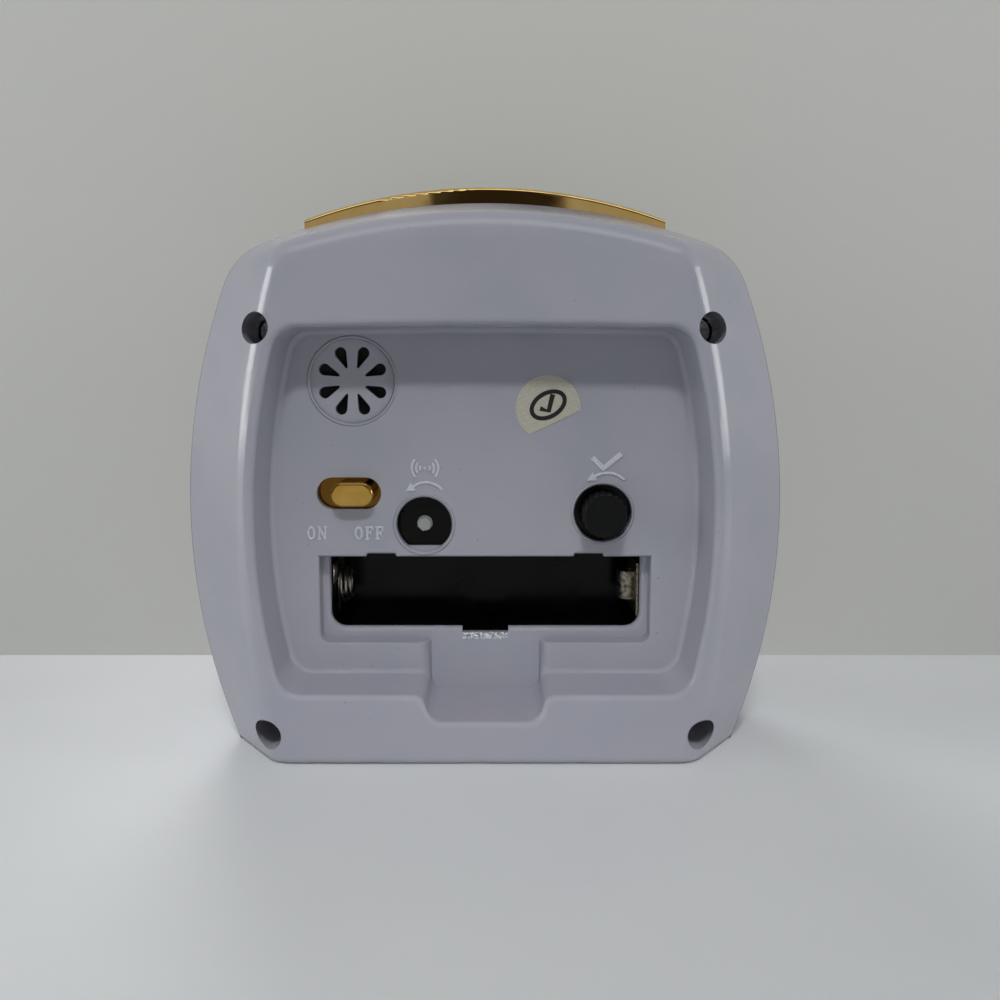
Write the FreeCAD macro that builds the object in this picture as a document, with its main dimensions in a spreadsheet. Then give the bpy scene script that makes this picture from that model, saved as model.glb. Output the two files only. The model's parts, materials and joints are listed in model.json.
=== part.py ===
import FreeCAD, Part
import math
import os
import re
import Sketcher
from FreeCAD import Placement, Rotation, Vector

# Alarm clock seen from its back: lilac case, gold key, setting hardware and quartz movement
# +Z is up, the dial faces -Y, the back faces +Y, the origin is under the middle of the base

SIZES = {
    # Case outline and depth
    "rear_y": 24.0,
    "front_y": -21.0,
    "joint_y": 9.0,
    "case_half_width": 59.4,
    "case_height": 107.8,
    "hub_rise": 0.1,
    "belly_drop": 7.0,
    "side_radius": 130.0,
    "top_radius": 128.0,
    "corner_radius": 13.0,
    "back_inset": 14.1,
    "back_drop": 4.1,
    "back_belly_drop": 3.0,
    "back_side_radius": 190.0,
    "back_top_radius": 125.0,
    "back_corner_radius": 6.0,
    "face_inset": 1.6,
    "front_rounding": 3.5,
    "crease_rounding": 5.0,
    "wall": 2.2,
    "band_wall": 2.8,
    "back_wall": 2.4,
    "base_trim": 1.5,
    # Recess of the back
    "panel_depth": 11.0,
    "panel_wall": 2.0,
    "recess_inset": 1.8,
    "recess_rise": 29.6,
    "recess_bottom": 13.5,
    "recess_side_radius": 125.0,
    "recess_top_radius": 1500.0,
    "recess_corner": 5.0,
    "recess_low_corner": 5.0,
    "recess_floor_rounding": 1.0,
    "recess_draft": 1.2,
    "recess_foot_draft": 1.7,
    "rim_rounding": 1.3,
    # Screw wells and screws
    "well_inset_top": 2.8,
    "well_rise_top": 29.2,
    "well_inset_low": 3.3,
    "well_z_low": 5.6,
    "well_radius": 3.0,
    "well_wall": 1.2,
    "well_floor": 2.0,
    "well_fit": 0.15,
    "screw_seat_depth": 6.0,
    "screw_head_radius": 2.7,
    "screw_head_height": 1.9,
    "screw_radius": 1.4,
    "screw_length": 11.0,
    "screw_clearance": 0.25,
    "thread_clearance": 0.05,
    "recess_drive_radius": 1.1,
    "recess_drive_depth": 1.0,
    "recess_drive_width": 0.5,
    "boss_radius": 4.2,
    # Finger channel of the battery opening
    "channel_half_width": 11.0,
    "channel_floor_z": 10.6,
    "channel_mouth_half": 12.4,
    "channel_mouth_low_half": 10.2,
    "channel_mouth_z": 8.2,
    "channel_wall": 1.8,
    "channel_rounding": 3.0,
    "channel_lip_rounding": 2.2,
    # Battery opening and tray
    "battery_radius": 7.25,
    "battery_length": 50.5,
    "battery_side_play": 0.2,
    "contact_room": 6.2,
    "door_ledge": 1.55,
    "door_drop": 15.3,
    "door_corner": 1.8,
    "door_rounding": 0.5,
    "bay_corner": 3.0,
    "bay_rounding": 1.0,
    "bay_play": 0.7,
    "bay_step": 2.3,
    "ledge_depth": 4.0,
    "ledge_wall": 1.5,
    "notch_inner": 17.3,
    "notch_outer": 24.0,
    "notch_height": 0.65,
    "latch_half_width": 4.7,
    "latch_rise": 1.2,
    "collar_wall": 1.4,
    "tray_wall": 1.1,
    "tray_lip": 0.6,
    "contact_thickness": 0.4,
    "contact_half_width": 5.5,
    "contact_leaf_reach": 3.6,
    "contact_leaf_radius": 2.6,
    "contact_leaf_half": 2.9,
    "contact_coil_radius": 3.6,
    "contact_coil_tip": 1.8,
    "contact_reach": 5.0,
    # Alarm and time setting
    "alarm_x": 12.0,
    "alarm_drop": 8.8,
    "alarm_hole_radius": 5.5,
    "alarm_chord": 4.4,
    "alarm_flats": 2.4,
    "alarm_end_depth": 0.3,
    "knob_x": -23.3,
    "knob_drop": 6.5,
    "knob_hole_radius": 5.65,
    "knob_radius": 4.4,
    "knob_proud": 6.0,
    "knob_sunk": 1.6,
    "knob_ridges": 20,
    "knob_ridge_radius": 0.42,
    "knob_bore_depth": 4.5,
    "stem_radius": 1.5,
    "bearing_clearance": 0.06,
    # Switch
    "switch_x": 26.8,
    "switch_drop": 2.6,
    "switch_slot_half": 6.35,
    "switch_slot_radius": 3.15,
    "switch_rest": -0.9,
    "switch_travel_half": 2.05,
    "button_half": 4.2,
    "button_radius": 2.4,
    "button_proud": 3.0,
    "button_rounding": 0.6,
    "slide_plate_half": 8.5,
    "slide_plate_height": 7.6,
    "slide_plate_thickness": 0.9,
    "slide_gap": 0.2,
    "slide_notch": 0.7,
    "tongue_half": 0.9,
    "tongue_depth": 2.4,
    "switch_body_half": 6.6,
    "switch_body_height": 5.6,
    "switch_body_depth": 4.2,
    # Speaker
    "speaker_x": 25.8,
    "speaker_rise": 19.4,
    "grille_radius": 8.15,
    "grille_depth": 0.45,
    "slot_inner": 2.7,
    "slot_outer": 7.0,
    "slot_end_radius": 1.15,
    "slot_tip_radius": 0.25,
    "slot_count": 8,
    "speaker_radius": 8.9,
    "speaker_rim": 0.9,
    "speaker_depth": 3.6,
    "magnet_radius": 4.8,
    "magnet_depth": 3.2,
    "cone_drop": 2.0,
    "cone_wall": 0.4,
    "seat_gap": 0.3,
    # Sound board
    "board_thickness": 1.2,
    "board_gap": 0.2,
    "board_width": 21.0,
    "board_drop": 8.9,
    "board_height": 18.0,
    "chip_radius": 2.6,
    "chip_height": 1.1,
    # Sticker
    "sticker_x": -12.4,
    "sticker_rise": 14.2,
    "sticker_radius": 6.35,
    "sticker_thickness": 0.12,
    "sticker_chord": 3.2,
    "sticker_turn": 115.5,
    # Front
    "bezel_margin": 4.5,
    "bezel_width": 6.0,
    "bezel_height": 3.0,
    "bezel_rounding": 1.2,
    "bezel_slope": 3.0,
    "lens_lap": 2.5,
    "lens_thickness": 1.6,
    "lens_gap": 0.15,
    "skirt_wall": 1.6,
    "dial_gap": 0.1,
    "dial_thickness": 0.8,
    "dial_lap": 1.4,
    # Snooze key and what it presses
    "key_half_width": 36.0,
    "key_rear_y": 4.5,
    "key_front_y": -14.5,
    "key_rise": 3.9,
    "key_radius": 106.0,
    "key_gap": 0.3,
    "key_travel": 1.6,
    "key_wall": 2.0,
    "key_lip": 1.3,
    "key_lip_height": 1.1,
    "key_lip_drop": 5.7,
    "key_rounding": 0.8,
    "key_drop": 10.3,
    "shelf_drop": 14.3,
    "shelf_height": 1.5,
    "shelf_rear_y": 3.0,
    "shelf_front_y": -8.0,
    "key_axis_y": -3.0,
    "spring_x": 24.0,
    "spring_radius": 2.6,
    "spring_wire": 0.5,
    "spring_height": 6.5,
    "spring_seat_wall": 0.8,
    "snooze_switch_half": 3.0,
    "snooze_switch_height": 3.5,
    "plunger_radius": 1.7,
    "plunger_height": 1.2,
    "pusher_half": 2.0,
    # Movement case
    "move_left": -31.0,
    "move_right": 16.8,
    "move_gap": 0.3,
    "move_rise": 26.0,
    "move_split_rise": 0.2,
    "move_wall": 1.2,
    "mid_rise": 0.6,
    "mid_thickness": 0.8,
    "mid_gap": 0.1,
    "mid_hub_gap": 0.3,
    "post_radius": 1.3,
    "post_gap": 0.3,
    "lug_inset": 2.3,
    "lug_radius": 1.5,
    "lug_gap": 0.9,
    "move_screw_radius": 0.7,
    "move_screw_head": 1.3,
    "move_screw_length": 6.0,
    "bush_radius": 3.9,
    "bush_proud": 0.3,
    "bush_gap": 0.1,
    "nut_radius": 5.2,
    "nut_thickness": 1.0,
    # Arbor and tube radii at the hub
    "arbor_radius": 0.5,
    "minute_tube": 1.05,
    "hour_tube": 1.72,
    "alarm_tube": 2.4,
    "tube_clearance": 0.08,
    # Wheel layers along Y, each from the one in front of it
    "wheel_thickness": 0.8,
    "alarm_wheel_gap": 0.2,
    "motion_pitch": 1.5,
    "centre_wheel_gap": 0.3,
    "third_wheel_rise": 1.8,
    "train_pitch": 1.6,
    "pinion_margin": 0.25,
    # Teeth
    "alarm_wheel_teeth": 48,
    "alarm_pinion_teeth": 12,
    "cannon_teeth": 12,
    "minute_wheel_teeth": 36,
    "set_pinion_teeth": 16,
    "minute_pinion_teeth": 10,
    "hour_wheel_teeth": 40,
    "centre_wheel_teeth": 64,
    "third_pinion_teeth": 8,
    "third_wheel_teeth": 60,
    "second_pinion_teeth": 8,
    "second_wheel_teeth": 40,
    "fifth_pinion_teeth": 8,
    "fifth_wheel_teeth": 36,
    "rotor_pinion_teeth": 6,
    "motion_module": 0.55,
    "centre_module": 0.3,
    "second_module": 0.44,
    "rotor_module": 0.36,
    "third_angle": 72.0,
    "fifth_angle": 150.0,
    "rotor_angle": 118.0,
    # Rotor, stator and coil
    "magnet_disc_radius": 2.7,
    "magnet_disc_rise": 0.7,
    "magnet_disc_height": 2.1,
    "rotor_gap": 0.45,
    "stator_rise": 0.6,
    "stator_thickness": 1.0,
    "stator_left_reach": 10.9,
    "stator_right_reach": 13.2,
    "stator_bar": 2.6,
    "coil_rise": 9.45,
    "coil_radius": 2.7,
    "coil_length": 16.0,
    "coil_side": 3.6,
    "coil_gap": 0.1,
    # Movement circuit board
    "circuit_gap": 0.4,
    "circuit_width": 5.0,
    "circuit_drop": 1.5,
    "circuit_height": 19.0,
    "crystal_radius": 1.0,
    "crystal_length": 6.0,
    "crystal_inset": 2.0,
    "crystal_gap": 0.05,
    "circuit_chip_radius": 1.6,
    "circuit_chip_height": 0.8,
    "circuit_chip_rise": 3.5,
    # Hands
    "hand_thickness": 0.3,
    "hand_gap": 0.5,
    "hand_pitch": 1.4,
    "alarm_hand_short": 24.5,
    "hour_hand_short": 18.5,
    "minute_hand_short": 7.5,
    "second_hand_short": 5.5,
    "second_tail": 11.0,
    "hand_hub": 3.4,
    "second_eye": 2.4,
    "hand_width": 3.6,
    "hand_fit": 0.02,
}

# Places and radii that follow from the sizes
TIES = {
    "hub_z": "case_height / 2 + hub_rise",
    "belly_z": "hub_z - belly_drop",
    "back_half_width": "case_half_width - back_inset",
    "back_height": "case_height - back_drop",
    "recess_half_width": "back_half_width - recess_inset",
    "recess_top": "hub_z + recess_rise",
    "panel_y": "rear_y - panel_depth",
    "ledge_y": "panel_y - ledge_depth",
    "collar_low_y": "ledge_y - ledge_wall",
    "well_x_top": "back_half_width - well_inset_top",
    "well_z_top": "hub_z + well_rise_top",
    "well_x_low": "back_half_width - well_inset_low",
    "screw_seat_y": "joint_y - screw_seat_depth",
    "well_low_y": "screw_seat_y - well_floor",
    "bay_half_width": "battery_length / 2 + contact_room",
    "door_half_width": "bay_half_width + door_ledge",
    "door_top_z": "hub_z - door_drop",
    "bay_low_z": "door_top_z - 2 * battery_radius - bay_play",
    "door_low_z": "bay_low_z - bay_step",
    "latch_low_z": "door_low_z + latch_rise",
    "tray_floor_y": "collar_low_y - 2 * battery_radius",
    "alarm_z": "hub_z - alarm_drop",
    "knob_z": "hub_z - knob_drop",
    "knob_end_y": "panel_y + knob_proud",
    "knob_low_y": "panel_y - knob_sunk",
    "switch_z": "hub_z - switch_drop",
    "speaker_z": "hub_z + speaker_rise",
    "sticker_z": "hub_z + sticker_rise",
    "bezel_radius": "hub_z - bezel_margin",
    "bezel_inner": "bezel_radius - bezel_width",
    "bezel_end_y": "front_y - bezel_height",
    "lens_radius": "bezel_inner + lens_lap",
    "dial_radius": "bezel_inner + dial_lap",
    "dial_y": "tray_floor_y - tray_wall - dial_gap - dial_thickness",
    "key_top": "case_height + key_rise",
    "key_low": "case_height - key_drop",
    "shelf_z": "case_height - shelf_drop",
    "shelf_top": "shelf_z + shelf_height",
    "spring_top": "shelf_top + spring_height",
    "push_z": "shelf_top + snooze_switch_height + plunger_height + key_travel + bush_gap",
    "lip_top": "case_height - wall - face_inset - key_lip_drop",
    "move_low": "door_top_z + battery_side_play + tray_wall + move_gap",
    "move_high": "hub_z + move_rise",
    "move_front_y": "dial_y + dial_thickness + move_gap",
    "move_rear_y": "panel_y - panel_wall - move_gap",
    "plate_inside_y": "move_front_y + move_wall",
    "cover_inside_y": "move_rear_y - move_wall",
    "bush_front_y": "dial_y - nut_thickness - bush_proud",
    "alarm_wheel_y": "plate_inside_y + alarm_wheel_gap + wheel_thickness",
    "hour_wheel_y": "alarm_wheel_y + motion_pitch",
    "minute_wheel_y": "hour_wheel_y + motion_pitch",
    "mid_front_y": "minute_wheel_y + mid_rise",
    "mid_rear_y": "mid_front_y + mid_thickness",
    "centre_wheel_y": "mid_rear_y + centre_wheel_gap + wheel_thickness",
    "third_wheel_y": "centre_wheel_y + third_wheel_rise",
    "second_wheel_y": "third_wheel_y + train_pitch",
    "fifth_wheel_y": "second_wheel_y + train_pitch",
    "move_split_y": "fifth_wheel_y + move_split_rise",
    "magnet_disc_front": "fifth_wheel_y + magnet_disc_rise",
    "magnet_disc_rear": "magnet_disc_front + magnet_disc_height",
    "stator_front_y": "magnet_disc_front + stator_rise",
    "stator_y": "stator_front_y + stator_thickness",
    "lug_x": "move_left + lug_inset",
    "lug_x_right": "move_right - lug_inset",
    "lug_z": "move_high - lug_inset",
    "board_left": "move_right + board_gap",
    "board_low": "switch_z - board_drop",
    "circuit_left": "move_left + move_wall + circuit_gap",
    "circuit_low": "hub_z - circuit_drop",
    "circuit_high": "circuit_low + circuit_height",
    "circuit_x": "circuit_left + circuit_width / 2",
    "alarm_hand_y": "bush_front_y - hand_gap",
    "hour_hand_y": "alarm_hand_y - hand_pitch",
    "minute_hand_y": "hour_hand_y - hand_pitch",
    "second_hand_y": "minute_hand_y - hand_pitch",
}

doc = FreeCAD.newDocument("AlarmClock")
sheet = doc.addObject("Spreadsheet::Sheet", "Sizes")
for row, (alias, value) in enumerate(SIZES.items(), start=1):
    sheet.set(f"A{row}", alias)
    sheet.set(f"B{row}", str(value))
    sheet.setAlias(f"B{row}", alias)
doc.recompute()

NAMES = re.compile(r"\b[a-z][a-z0-9_]*\b")
ALONG_Y = Rotation(Vector(1, 0, 0), -90)
UPRIGHT = Rotation()
nodes = []


def tied(text):
    """An expression in which each tie is written out and each size is read from the sheet."""
    def named(found):
        word = found.group(0)
        if word in TIES:
            return "(" + tied(TIES[word]) + ")"
        return "Sizes." + word if word in SIZES else word
    return NAMES.sub(named, str(text))


def value(text):
    """The number that an expression of sizes has now."""
    result = sheet.evalExpression(tied(text))
    return float(getattr(result, "Value", result))


def bind(item, prop, text):
    item.setExpression(prop, tied(text))


def place(item, x="0", y="0", z="0", turn=UPRIGHT):
    item.Placement = Placement(Vector(0, 0, 0), turn)
    bind(item, "Placement.Base.x", x)
    bind(item, "Placement.Base.y", y)
    bind(item, "Placement.Base.z", z)
    return item


def rod(name, radius, rear, front, x="0", z="0", tip=None):
    """A round bar along Y between two planes, or a cone when it has a tip radius."""
    kind = "Part::Cylinder" if tip is None else "Part::Cone"
    item = doc.addObject(kind, name)
    if tip is None:
        bind(item, "Radius", radius)
    else:
        bind(item, "Radius1", tip)
        bind(item, "Radius2", radius)
    bind(item, "Height", f"({rear}) - ({front})")
    return place(item, x, front, z, ALONG_Y)


def post(name, radius, low, high, x="0", y="0"):
    """A round bar along Z."""
    item = doc.addObject("Part::Cylinder", name)
    bind(item, "Radius", radius)
    bind(item, "Height", f"({high}) - ({low})")
    return place(item, x, y, low)


def block(name, x0, x1, y0, y1, z0, z1):
    item = doc.addObject("Part::Box", name)
    bind(item, "Length", f"({x1}) - ({x0})")
    bind(item, "Width", f"({y1}) - ({y0})")
    bind(item, "Height", f"({z1}) - ({z0})")
    return place(item, x0, y0, z0)


def fuse(name, *items):
    item = doc.addObject("Part::MultiFuse", name)
    item.Shapes = list(items)
    return item


def cut(name, base, *tools):
    item = doc.addObject("Part::Cut", name)
    item.Base = base
    item.Tool = tools[0] if len(tools) == 1 else fuse(name + "_tools", *tools)
    return item


def common(name, first, second):
    item = doc.addObject("Part::Common", name)
    item.Base = first
    item.Tool = second
    return item


def group(name, items):
    item = doc.addObject("Part::Compound", name)
    item.Links = list(items)
    return item


def node(item, name):
    """Marks an object as one piece of the clock."""
    item.Label = name
    nodes.append(item)
    return item


def soften(name, base, picks, radius, kind="Part::Fillet"):
    """Rounds or chamfers the edges of a boolean that a test picks."""
    doc.recompute()
    reach = value(radius)
    found = [i + 1 for i, edge in enumerate(base.Shape.Edges) if picks(edge)]
    item = doc.addObject(kind, name)
    item.Base = base
    item.Edges = [(i, reach, reach) for i in found]
    return item


# Sketches on the planes of a body

def origin_plane(body, role):
    return [part for part in body.Origin.OriginFeatures if part.Role == role][0]


def sketch(body, name, y="0"):
    """A sketch that faces -Y at a distance along Y: its x is X and its y is Z."""
    item = body.newObject("Sketcher::SketchObject", name)
    item.AttachmentSupport = (origin_plane(body, "XZ_Plane"), [""])
    item.MapMode = "FlatFace"
    item.setExpression("AttachmentOffset.Base.z", tied(f"-({y})"))
    return item


def measure(item, name, args, text):
    """A named dimension of a sketch, tied to an expression of sizes."""
    at = item.addConstraint(Sketcher.Constraint(*args, value(text)))
    item.renameConstraint(at, name)
    bind(item, "Constraints." + name, text)


def pad(body, name, profile, length):
    item = body.newObject("PartDesign::Pad", name)
    item.Profile = profile
    bind(item, "Length", length)
    return item


def arc(centre, radius, start, end):
    first = math.atan2(start.y - centre.y, start.x - centre.x)
    last = math.atan2(end.y - centre.y, end.x - centre.x)
    return Part.ArcOfCircle(Part.Circle(centre, Vector(0, 0, 1), radius), first, last)


def mirrored(point):
    return Vector(-point.x, point.y, 0)


def outline(item, half, top, belly, side, crown, corner, foot="0"):
    """A flat base, bulging sides, round shoulders and an arched top, as six tied curves."""
    reach, height, middle = value(half), value(top), value(belly)
    side_r, crown_r, corner_r, low = value(side), value(crown), value(corner), value(foot)
    side_c = Vector(reach - side_r, middle, 0)
    crown_c = Vector(0, height - crown_r, 0)
    apart = (crown_c - side_c).Length
    along = ((side_r - corner_r) ** 2 - (crown_r - corner_r) ** 2 + apart ** 2) / (2 * apart)
    across = math.sqrt((side_r - corner_r) ** 2 - along ** 2)
    way = (crown_c - side_c).normalize()
    normal = Vector(-way.y, way.x, 0)
    options = [side_c + way * along + normal * across, side_c + way * along - normal * across]
    corner_c = max(options, key=lambda point: point.y)
    low_end = side_c + (corner_c - side_c).normalize() * side_r
    high_end = crown_c + (corner_c - crown_c).normalize() * crown_r
    base = Vector(side_c.x + math.sqrt(side_r ** 2 - (middle - low) ** 2), low, 0)
    item.addGeometry([
        Part.LineSegment(mirrored(base), base),
        arc(side_c, side_r, base, low_end),
        arc(corner_c, corner_r, low_end, high_end),
        arc(crown_c, crown_r, high_end, mirrored(high_end)),
        arc(mirrored(corner_c), corner_r, mirrored(high_end), mirrored(low_end)),
        arc(mirrored(side_c), side_r, mirrored(low_end), mirrored(base)),
    ], False)
    item.addConstraint([Sketcher.Constraint("Coincident", 0, 2, 1, 1)]
                       + [Sketcher.Constraint("Tangent", i, 2, i + 1, 1) for i in range(1, 5)]
                       + [Sketcher.Constraint("Coincident", 5, 2, 0, 1),
                          Sketcher.Constraint("Horizontal", 0),
                          Sketcher.Constraint("PointOnObject", 3, 3, -2)])
    measure(item, "side_right", ("Radius", 1), side)
    measure(item, "side_left", ("Radius", 5), side)
    measure(item, "corner_right", ("Radius", 2), corner)
    measure(item, "corner_left", ("Radius", 4), corner)
    measure(item, "crown", ("Radius", 3), crown)
    measure(item, "belly_right", ("DistanceY", -1, 1, 1, 3), belly)
    measure(item, "belly_left", ("DistanceY", -1, 1, 5, 3), belly)
    measure(item, "reach_right", ("DistanceX", -1, 1, 1, 3), f"({half}) - ({side})")
    measure(item, "reach_left", ("DistanceX", -1, 1, 5, 3), f"({side}) - ({half})")
    measure(item, "crown_height", ("DistanceY", -1, 1, 3, 3), f"({top}) - ({crown})")
    measure(item, "foot", ("DistanceY", -1, 1, 0, 1), foot)
    return item


def shell_form(name, near, far):
    """A ruled solid between two outlines: each is its plane along Y and its outline sizes."""
    body = doc.addObject("PartDesign::Body", name)
    first = outline(sketch(body, name + "_near", near[0]), *near[1:])
    second = outline(sketch(body, name + "_far", far[0]), *far[1:])
    form = body.newObject("PartDesign::AdditiveLoft", name + "_loft")
    form.Profile = first
    form.Sections = [second]
    form.Ruled = True
    return body, form


def round_edges(body, name, base, picks, radius):
    doc.recompute()
    item = body.newObject("PartDesign::Fillet", name)
    item.Base = (base, [f"Edge{i + 1}" for i, edge in enumerate(base.Shape.Edges) if picks(edge)])
    bind(item, "Radius", radius)
    body.Tip = item
    return item


def on_plane(edge, y, low=None):
    """True when an edge lies in the plane at y, and above a height where one is given."""
    flat = all(abs(point.Y - y) < 0.01 for point in edge.Vertexes)
    flat = flat and abs(edge.CenterOfMass.y - y) < 0.01
    return flat and (low is None or edge.CenterOfMass.z > low)


# Case outlines

def grown(sizes, by):
    """An outline moved outwards by an amount: half width, top, belly, radii and foot."""
    half, top, belly, side, crown, corner, foot = sizes
    return (f"{half} + ({by})", f"{top} + ({by})", belly, f"{side} + ({by})", f"{crown} + ({by})",
            f"{corner} + ({by})", f"{foot} - ({by})")


PARTING = ("case_half_width", "case_height", "belly_z", "side_radius", "top_radius",
           "corner_radius", "0")
BACK = ("back_half_width", "back_height", "belly_z - back_belly_drop", "back_side_radius",
        "back_top_radius", "back_corner_radius", "0")
FACE = ("case_half_width - face_inset", "case_height - face_inset", "belly_z",
        "side_radius - face_inset", "top_radius - face_inset", "corner_radius - face_inset", "0")
RECESS = ("recess_half_width", "recess_top", "belly_z", "recess_side_radius",
          "recess_top_radius", "recess_corner", "recess_bottom")


def below_base(sizes):
    """An outline that runs on below the base, so that the base is then cut flat."""
    return (*sizes[:6], "-base_trim")


def base_cutter(name):
    return block(name, "-case_half_width - 1", "case_half_width + 1", "front_y - 1", "rear_y + 1",
                 "-2 * base_trim", "0")


WELLS = [("well_x_top", "well_z_top"), ("-well_x_top", "well_z_top"),
         ("well_x_low", "well_z_low"), ("-well_x_low", "well_z_low")]


def obround(body, name, y, half, radius, x="0", z="0"):
    """A slot outline along X with round ends, half its length and its end radius given."""
    item = sketch(body, name, y)
    cx, cz, end, r = value(x), value(z), value(f"({half}) - ({radius})"), value(radius)
    left, right = Vector(cx - end, cz, 0), Vector(cx + end, cz, 0)
    up = Vector(0, r, 0)
    item.addGeometry([
        Part.LineSegment(left - up, right - up),
        arc(right, r, right - up, right + up),
        Part.LineSegment(right + up, left + up),
        arc(left, r, left + up, left - up),
    ], False)
    item.addConstraint([Sketcher.Constraint("Tangent", i, 2, (i + 1) % 4, 1) for i in range(4)]
                       + [Sketcher.Constraint("Equal", 1, 3)])
    item.addConstraint(Sketcher.Constraint("Horizontal", 0))
    measure(item, "end_radius", ("Radius", 1), radius)
    measure(item, "right_end", ("DistanceX", -1, 1, 1, 3), f"({x}) + ({half}) - ({radius})")
    measure(item, "left_end", ("DistanceX", -1, 1, 3, 3), f"({x}) - ({half}) + ({radius})")
    measure(item, "height", ("DistanceY", -1, 1, 1, 3), z)
    return item


def obround_bar(name, half, radius, rear, front, x, z):
    body = doc.addObject("PartDesign::Body", name)
    pad(body, name + "_pad", obround(body, name + "_line", rear, half, radius, x, z),
        f"({rear}) - ({front})")
    return body


def quad(body, name, y, corners):
    """A four-sided outline whose corners are pairs of expressions."""
    item = sketch(body, name, y)
    points = [Vector(value(x), value(z), 0) for x, z in corners]
    item.addGeometry([Part.LineSegment(points[i], points[(i + 1) % 4]) for i in range(4)], False)
    item.addConstraint([Sketcher.Constraint("Coincident", i, 2, (i + 1) % 4, 1) for i in range(4)])
    for i, (x, z) in enumerate(corners):
        measure(item, f"x{i}", ("DistanceX", -1, 1, i, 1), x)
        measure(item, f"z{i}", ("DistanceY", -1, 1, i, 1), z)
    return item


def quad_bar(name, corners, rear, front):
    body = doc.addObject("PartDesign::Body", name)
    pad(body, name + "_pad", quad(body, name + "_line", rear, corners), f"({rear}) - ({front})")
    return body


# Rear case: sloped bands, recess with a drafted wall, finger channel, battery opening and holes

def rear_case():
    outer, form = shell_form("rear_outer", ("rear_y", *below_base(BACK)),
                             ("joint_y", *below_base(PARTING)))
    rear = value("rear_y")
    round_edges(outer, "rear_crease", form, lambda e: on_plane(e, rear, 1), "crease_rounding")

    inner_back = grown(BACK, "(case_half_width - back_half_width) * back_wall / (rear_y - joint_y)"
                             " - band_wall")
    inner_back = inner_back[:1] + ("back_height - band_wall",) + inner_back[2:6] + ("wall",)
    hollow, _ = shell_form("rear_hollow", ("rear_y - back_wall", *inner_back),
                           ("joint_y", *grown(PARTING, "-wall")))

    opening = ("rear_y", *RECESS)
    floor = ("panel_y", "recess_half_width - recess_draft", *RECESS[1:6],
             "recess_bottom + recess_foot_draft")
    recess, form = shell_form("recess", opening, floor)
    corners = [value("recess_bottom"), value("recess_bottom + recess_foot_draft")]
    round_edges(recess, "recess_corners", form,
                lambda e: sorted(round(p.Z, 3) for p in e.Vertexes) == corners
                and abs(e.Vertexes[0].Y - e.Vertexes[-1].Y) > 1, "recess_low_corner")
    panel = value("panel_y")
    round_edges(recess, "recess_floor_edge", recess.Tip, lambda e: on_plane(e, panel),
                "recess_floor_rounding")
    tub, _ = shell_form("recess_tub", ("rear_y", *grown(RECESS, "panel_wall")),
                        ("panel_y - panel_wall", *grown(floor[1:], "panel_wall")))

    bosses = [rod(f"well_boss_{i}", "well_radius + well_wall", "rear_y", "joint_y", x, z)
              for i, (x, z) in enumerate(WELLS)]
    spigots = [rod(f"well_spigot_{i}", "well_radius + well_wall", "joint_y + 1", "well_low_y", x, z)
               for i, (x, z) in enumerate(WELLS)]
    collar = block("battery_collar", "-door_half_width - collar_wall",
                   "door_half_width + collar_wall", "collar_low_y", "panel_y",
                   "door_low_z - collar_wall", "door_top_z + collar_wall")
    channel = block("channel_walls", "-channel_mouth_half - channel_wall",
                    "channel_mouth_half + channel_wall", "ledge_y - channel_wall",
                    "ledge_y", "channel_mouth_z - channel_wall", "door_low_z")
    sides = block("channel_sides", "-channel_mouth_half - channel_wall",
                  "channel_mouth_half + channel_wall", "joint_y - 1", "rear_y", "wall",
                  "door_low_z")
    space = cut("rear_space", hollow, collar, tub, sides, *bosses)
    blank = fuse("rear_blank", cut("rear_walls", outer, space), collar, channel, *spigots)

    tools = [recess, base_cutter("rear_base_cutter")]
    tools.append(low_cornered("door_seat", "door_half_width", "ledge_y", "door_low_z", "door_corner"))
    tools.append(low_cornered("battery_mouth", "bay_half_width", "collar_low_y - 1", "bay_low_z",
                              "bay_corner"))
    for i, side in enumerate(("", "-")):
        ends = [(f"{side}notch_inner", "door_top_z - notch_height"),
                (f"{side}notch_outer", "door_top_z - notch_height"),
                (f"{side}(notch_outer - notch_height)", "door_top_z + notch_height"),
                (f"{side}(notch_inner + notch_height)", "door_top_z + notch_height")]
        tools.append(quad_bar(f"door_notch_{i}", ends, "panel_y + 1", "ledge_y"))
    tools.append(block("latch_slot", "-latch_half_width", "latch_half_width",
                       "collar_low_y - 1", "panel_y", "latch_low_z", "bay_low_z + latch_rise"))
    tools.append(finger_channel())
    for i, (x, z) in enumerate(WELLS):
        tools.append(rod(f"well_{i}", "well_radius", "rear_y + 1", "screw_seat_y", x, z))
        tools.append(rod(f"well_hole_{i}", "screw_radius + screw_clearance", "rear_y",
                         "well_low_y - 1", x, z))
    tools.append(alarm_opening())
    tools.append(rod("knob_opening", "knob_hole_radius", "rear_y", "panel_y - panel_wall - 1",
                     "knob_x", "knob_z"))
    tools.append(obround_bar("switch_opening", "switch_slot_half", "switch_slot_radius",
                             "rear_y", "panel_y - panel_wall - 1", "switch_x", "switch_z"))
    tools.append(rod("grille_dish", "grille_radius + grille_depth", "panel_y + 0.01",
                     "panel_y - grille_depth", "speaker_x", "speaker_z", "grille_radius"))
    tools.append(grille_slots())
    node(rear_rounds(cut("rear_case_cut", blank, *tools)), "rear_case")


def low_cornered(name, half, front, low, corner):
    """A box cut for the battery door or bay: its two lower corners are rounded."""
    form = block(name + "_block", f"-{half}", half, front, "rear_y", low, "door_top_z")
    foot = value(low)
    return soften(name, form, lambda e: e.BoundBox.YLength > 1 and e.CenterOfMass.z < foot + 0.01,
                  corner)


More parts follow.
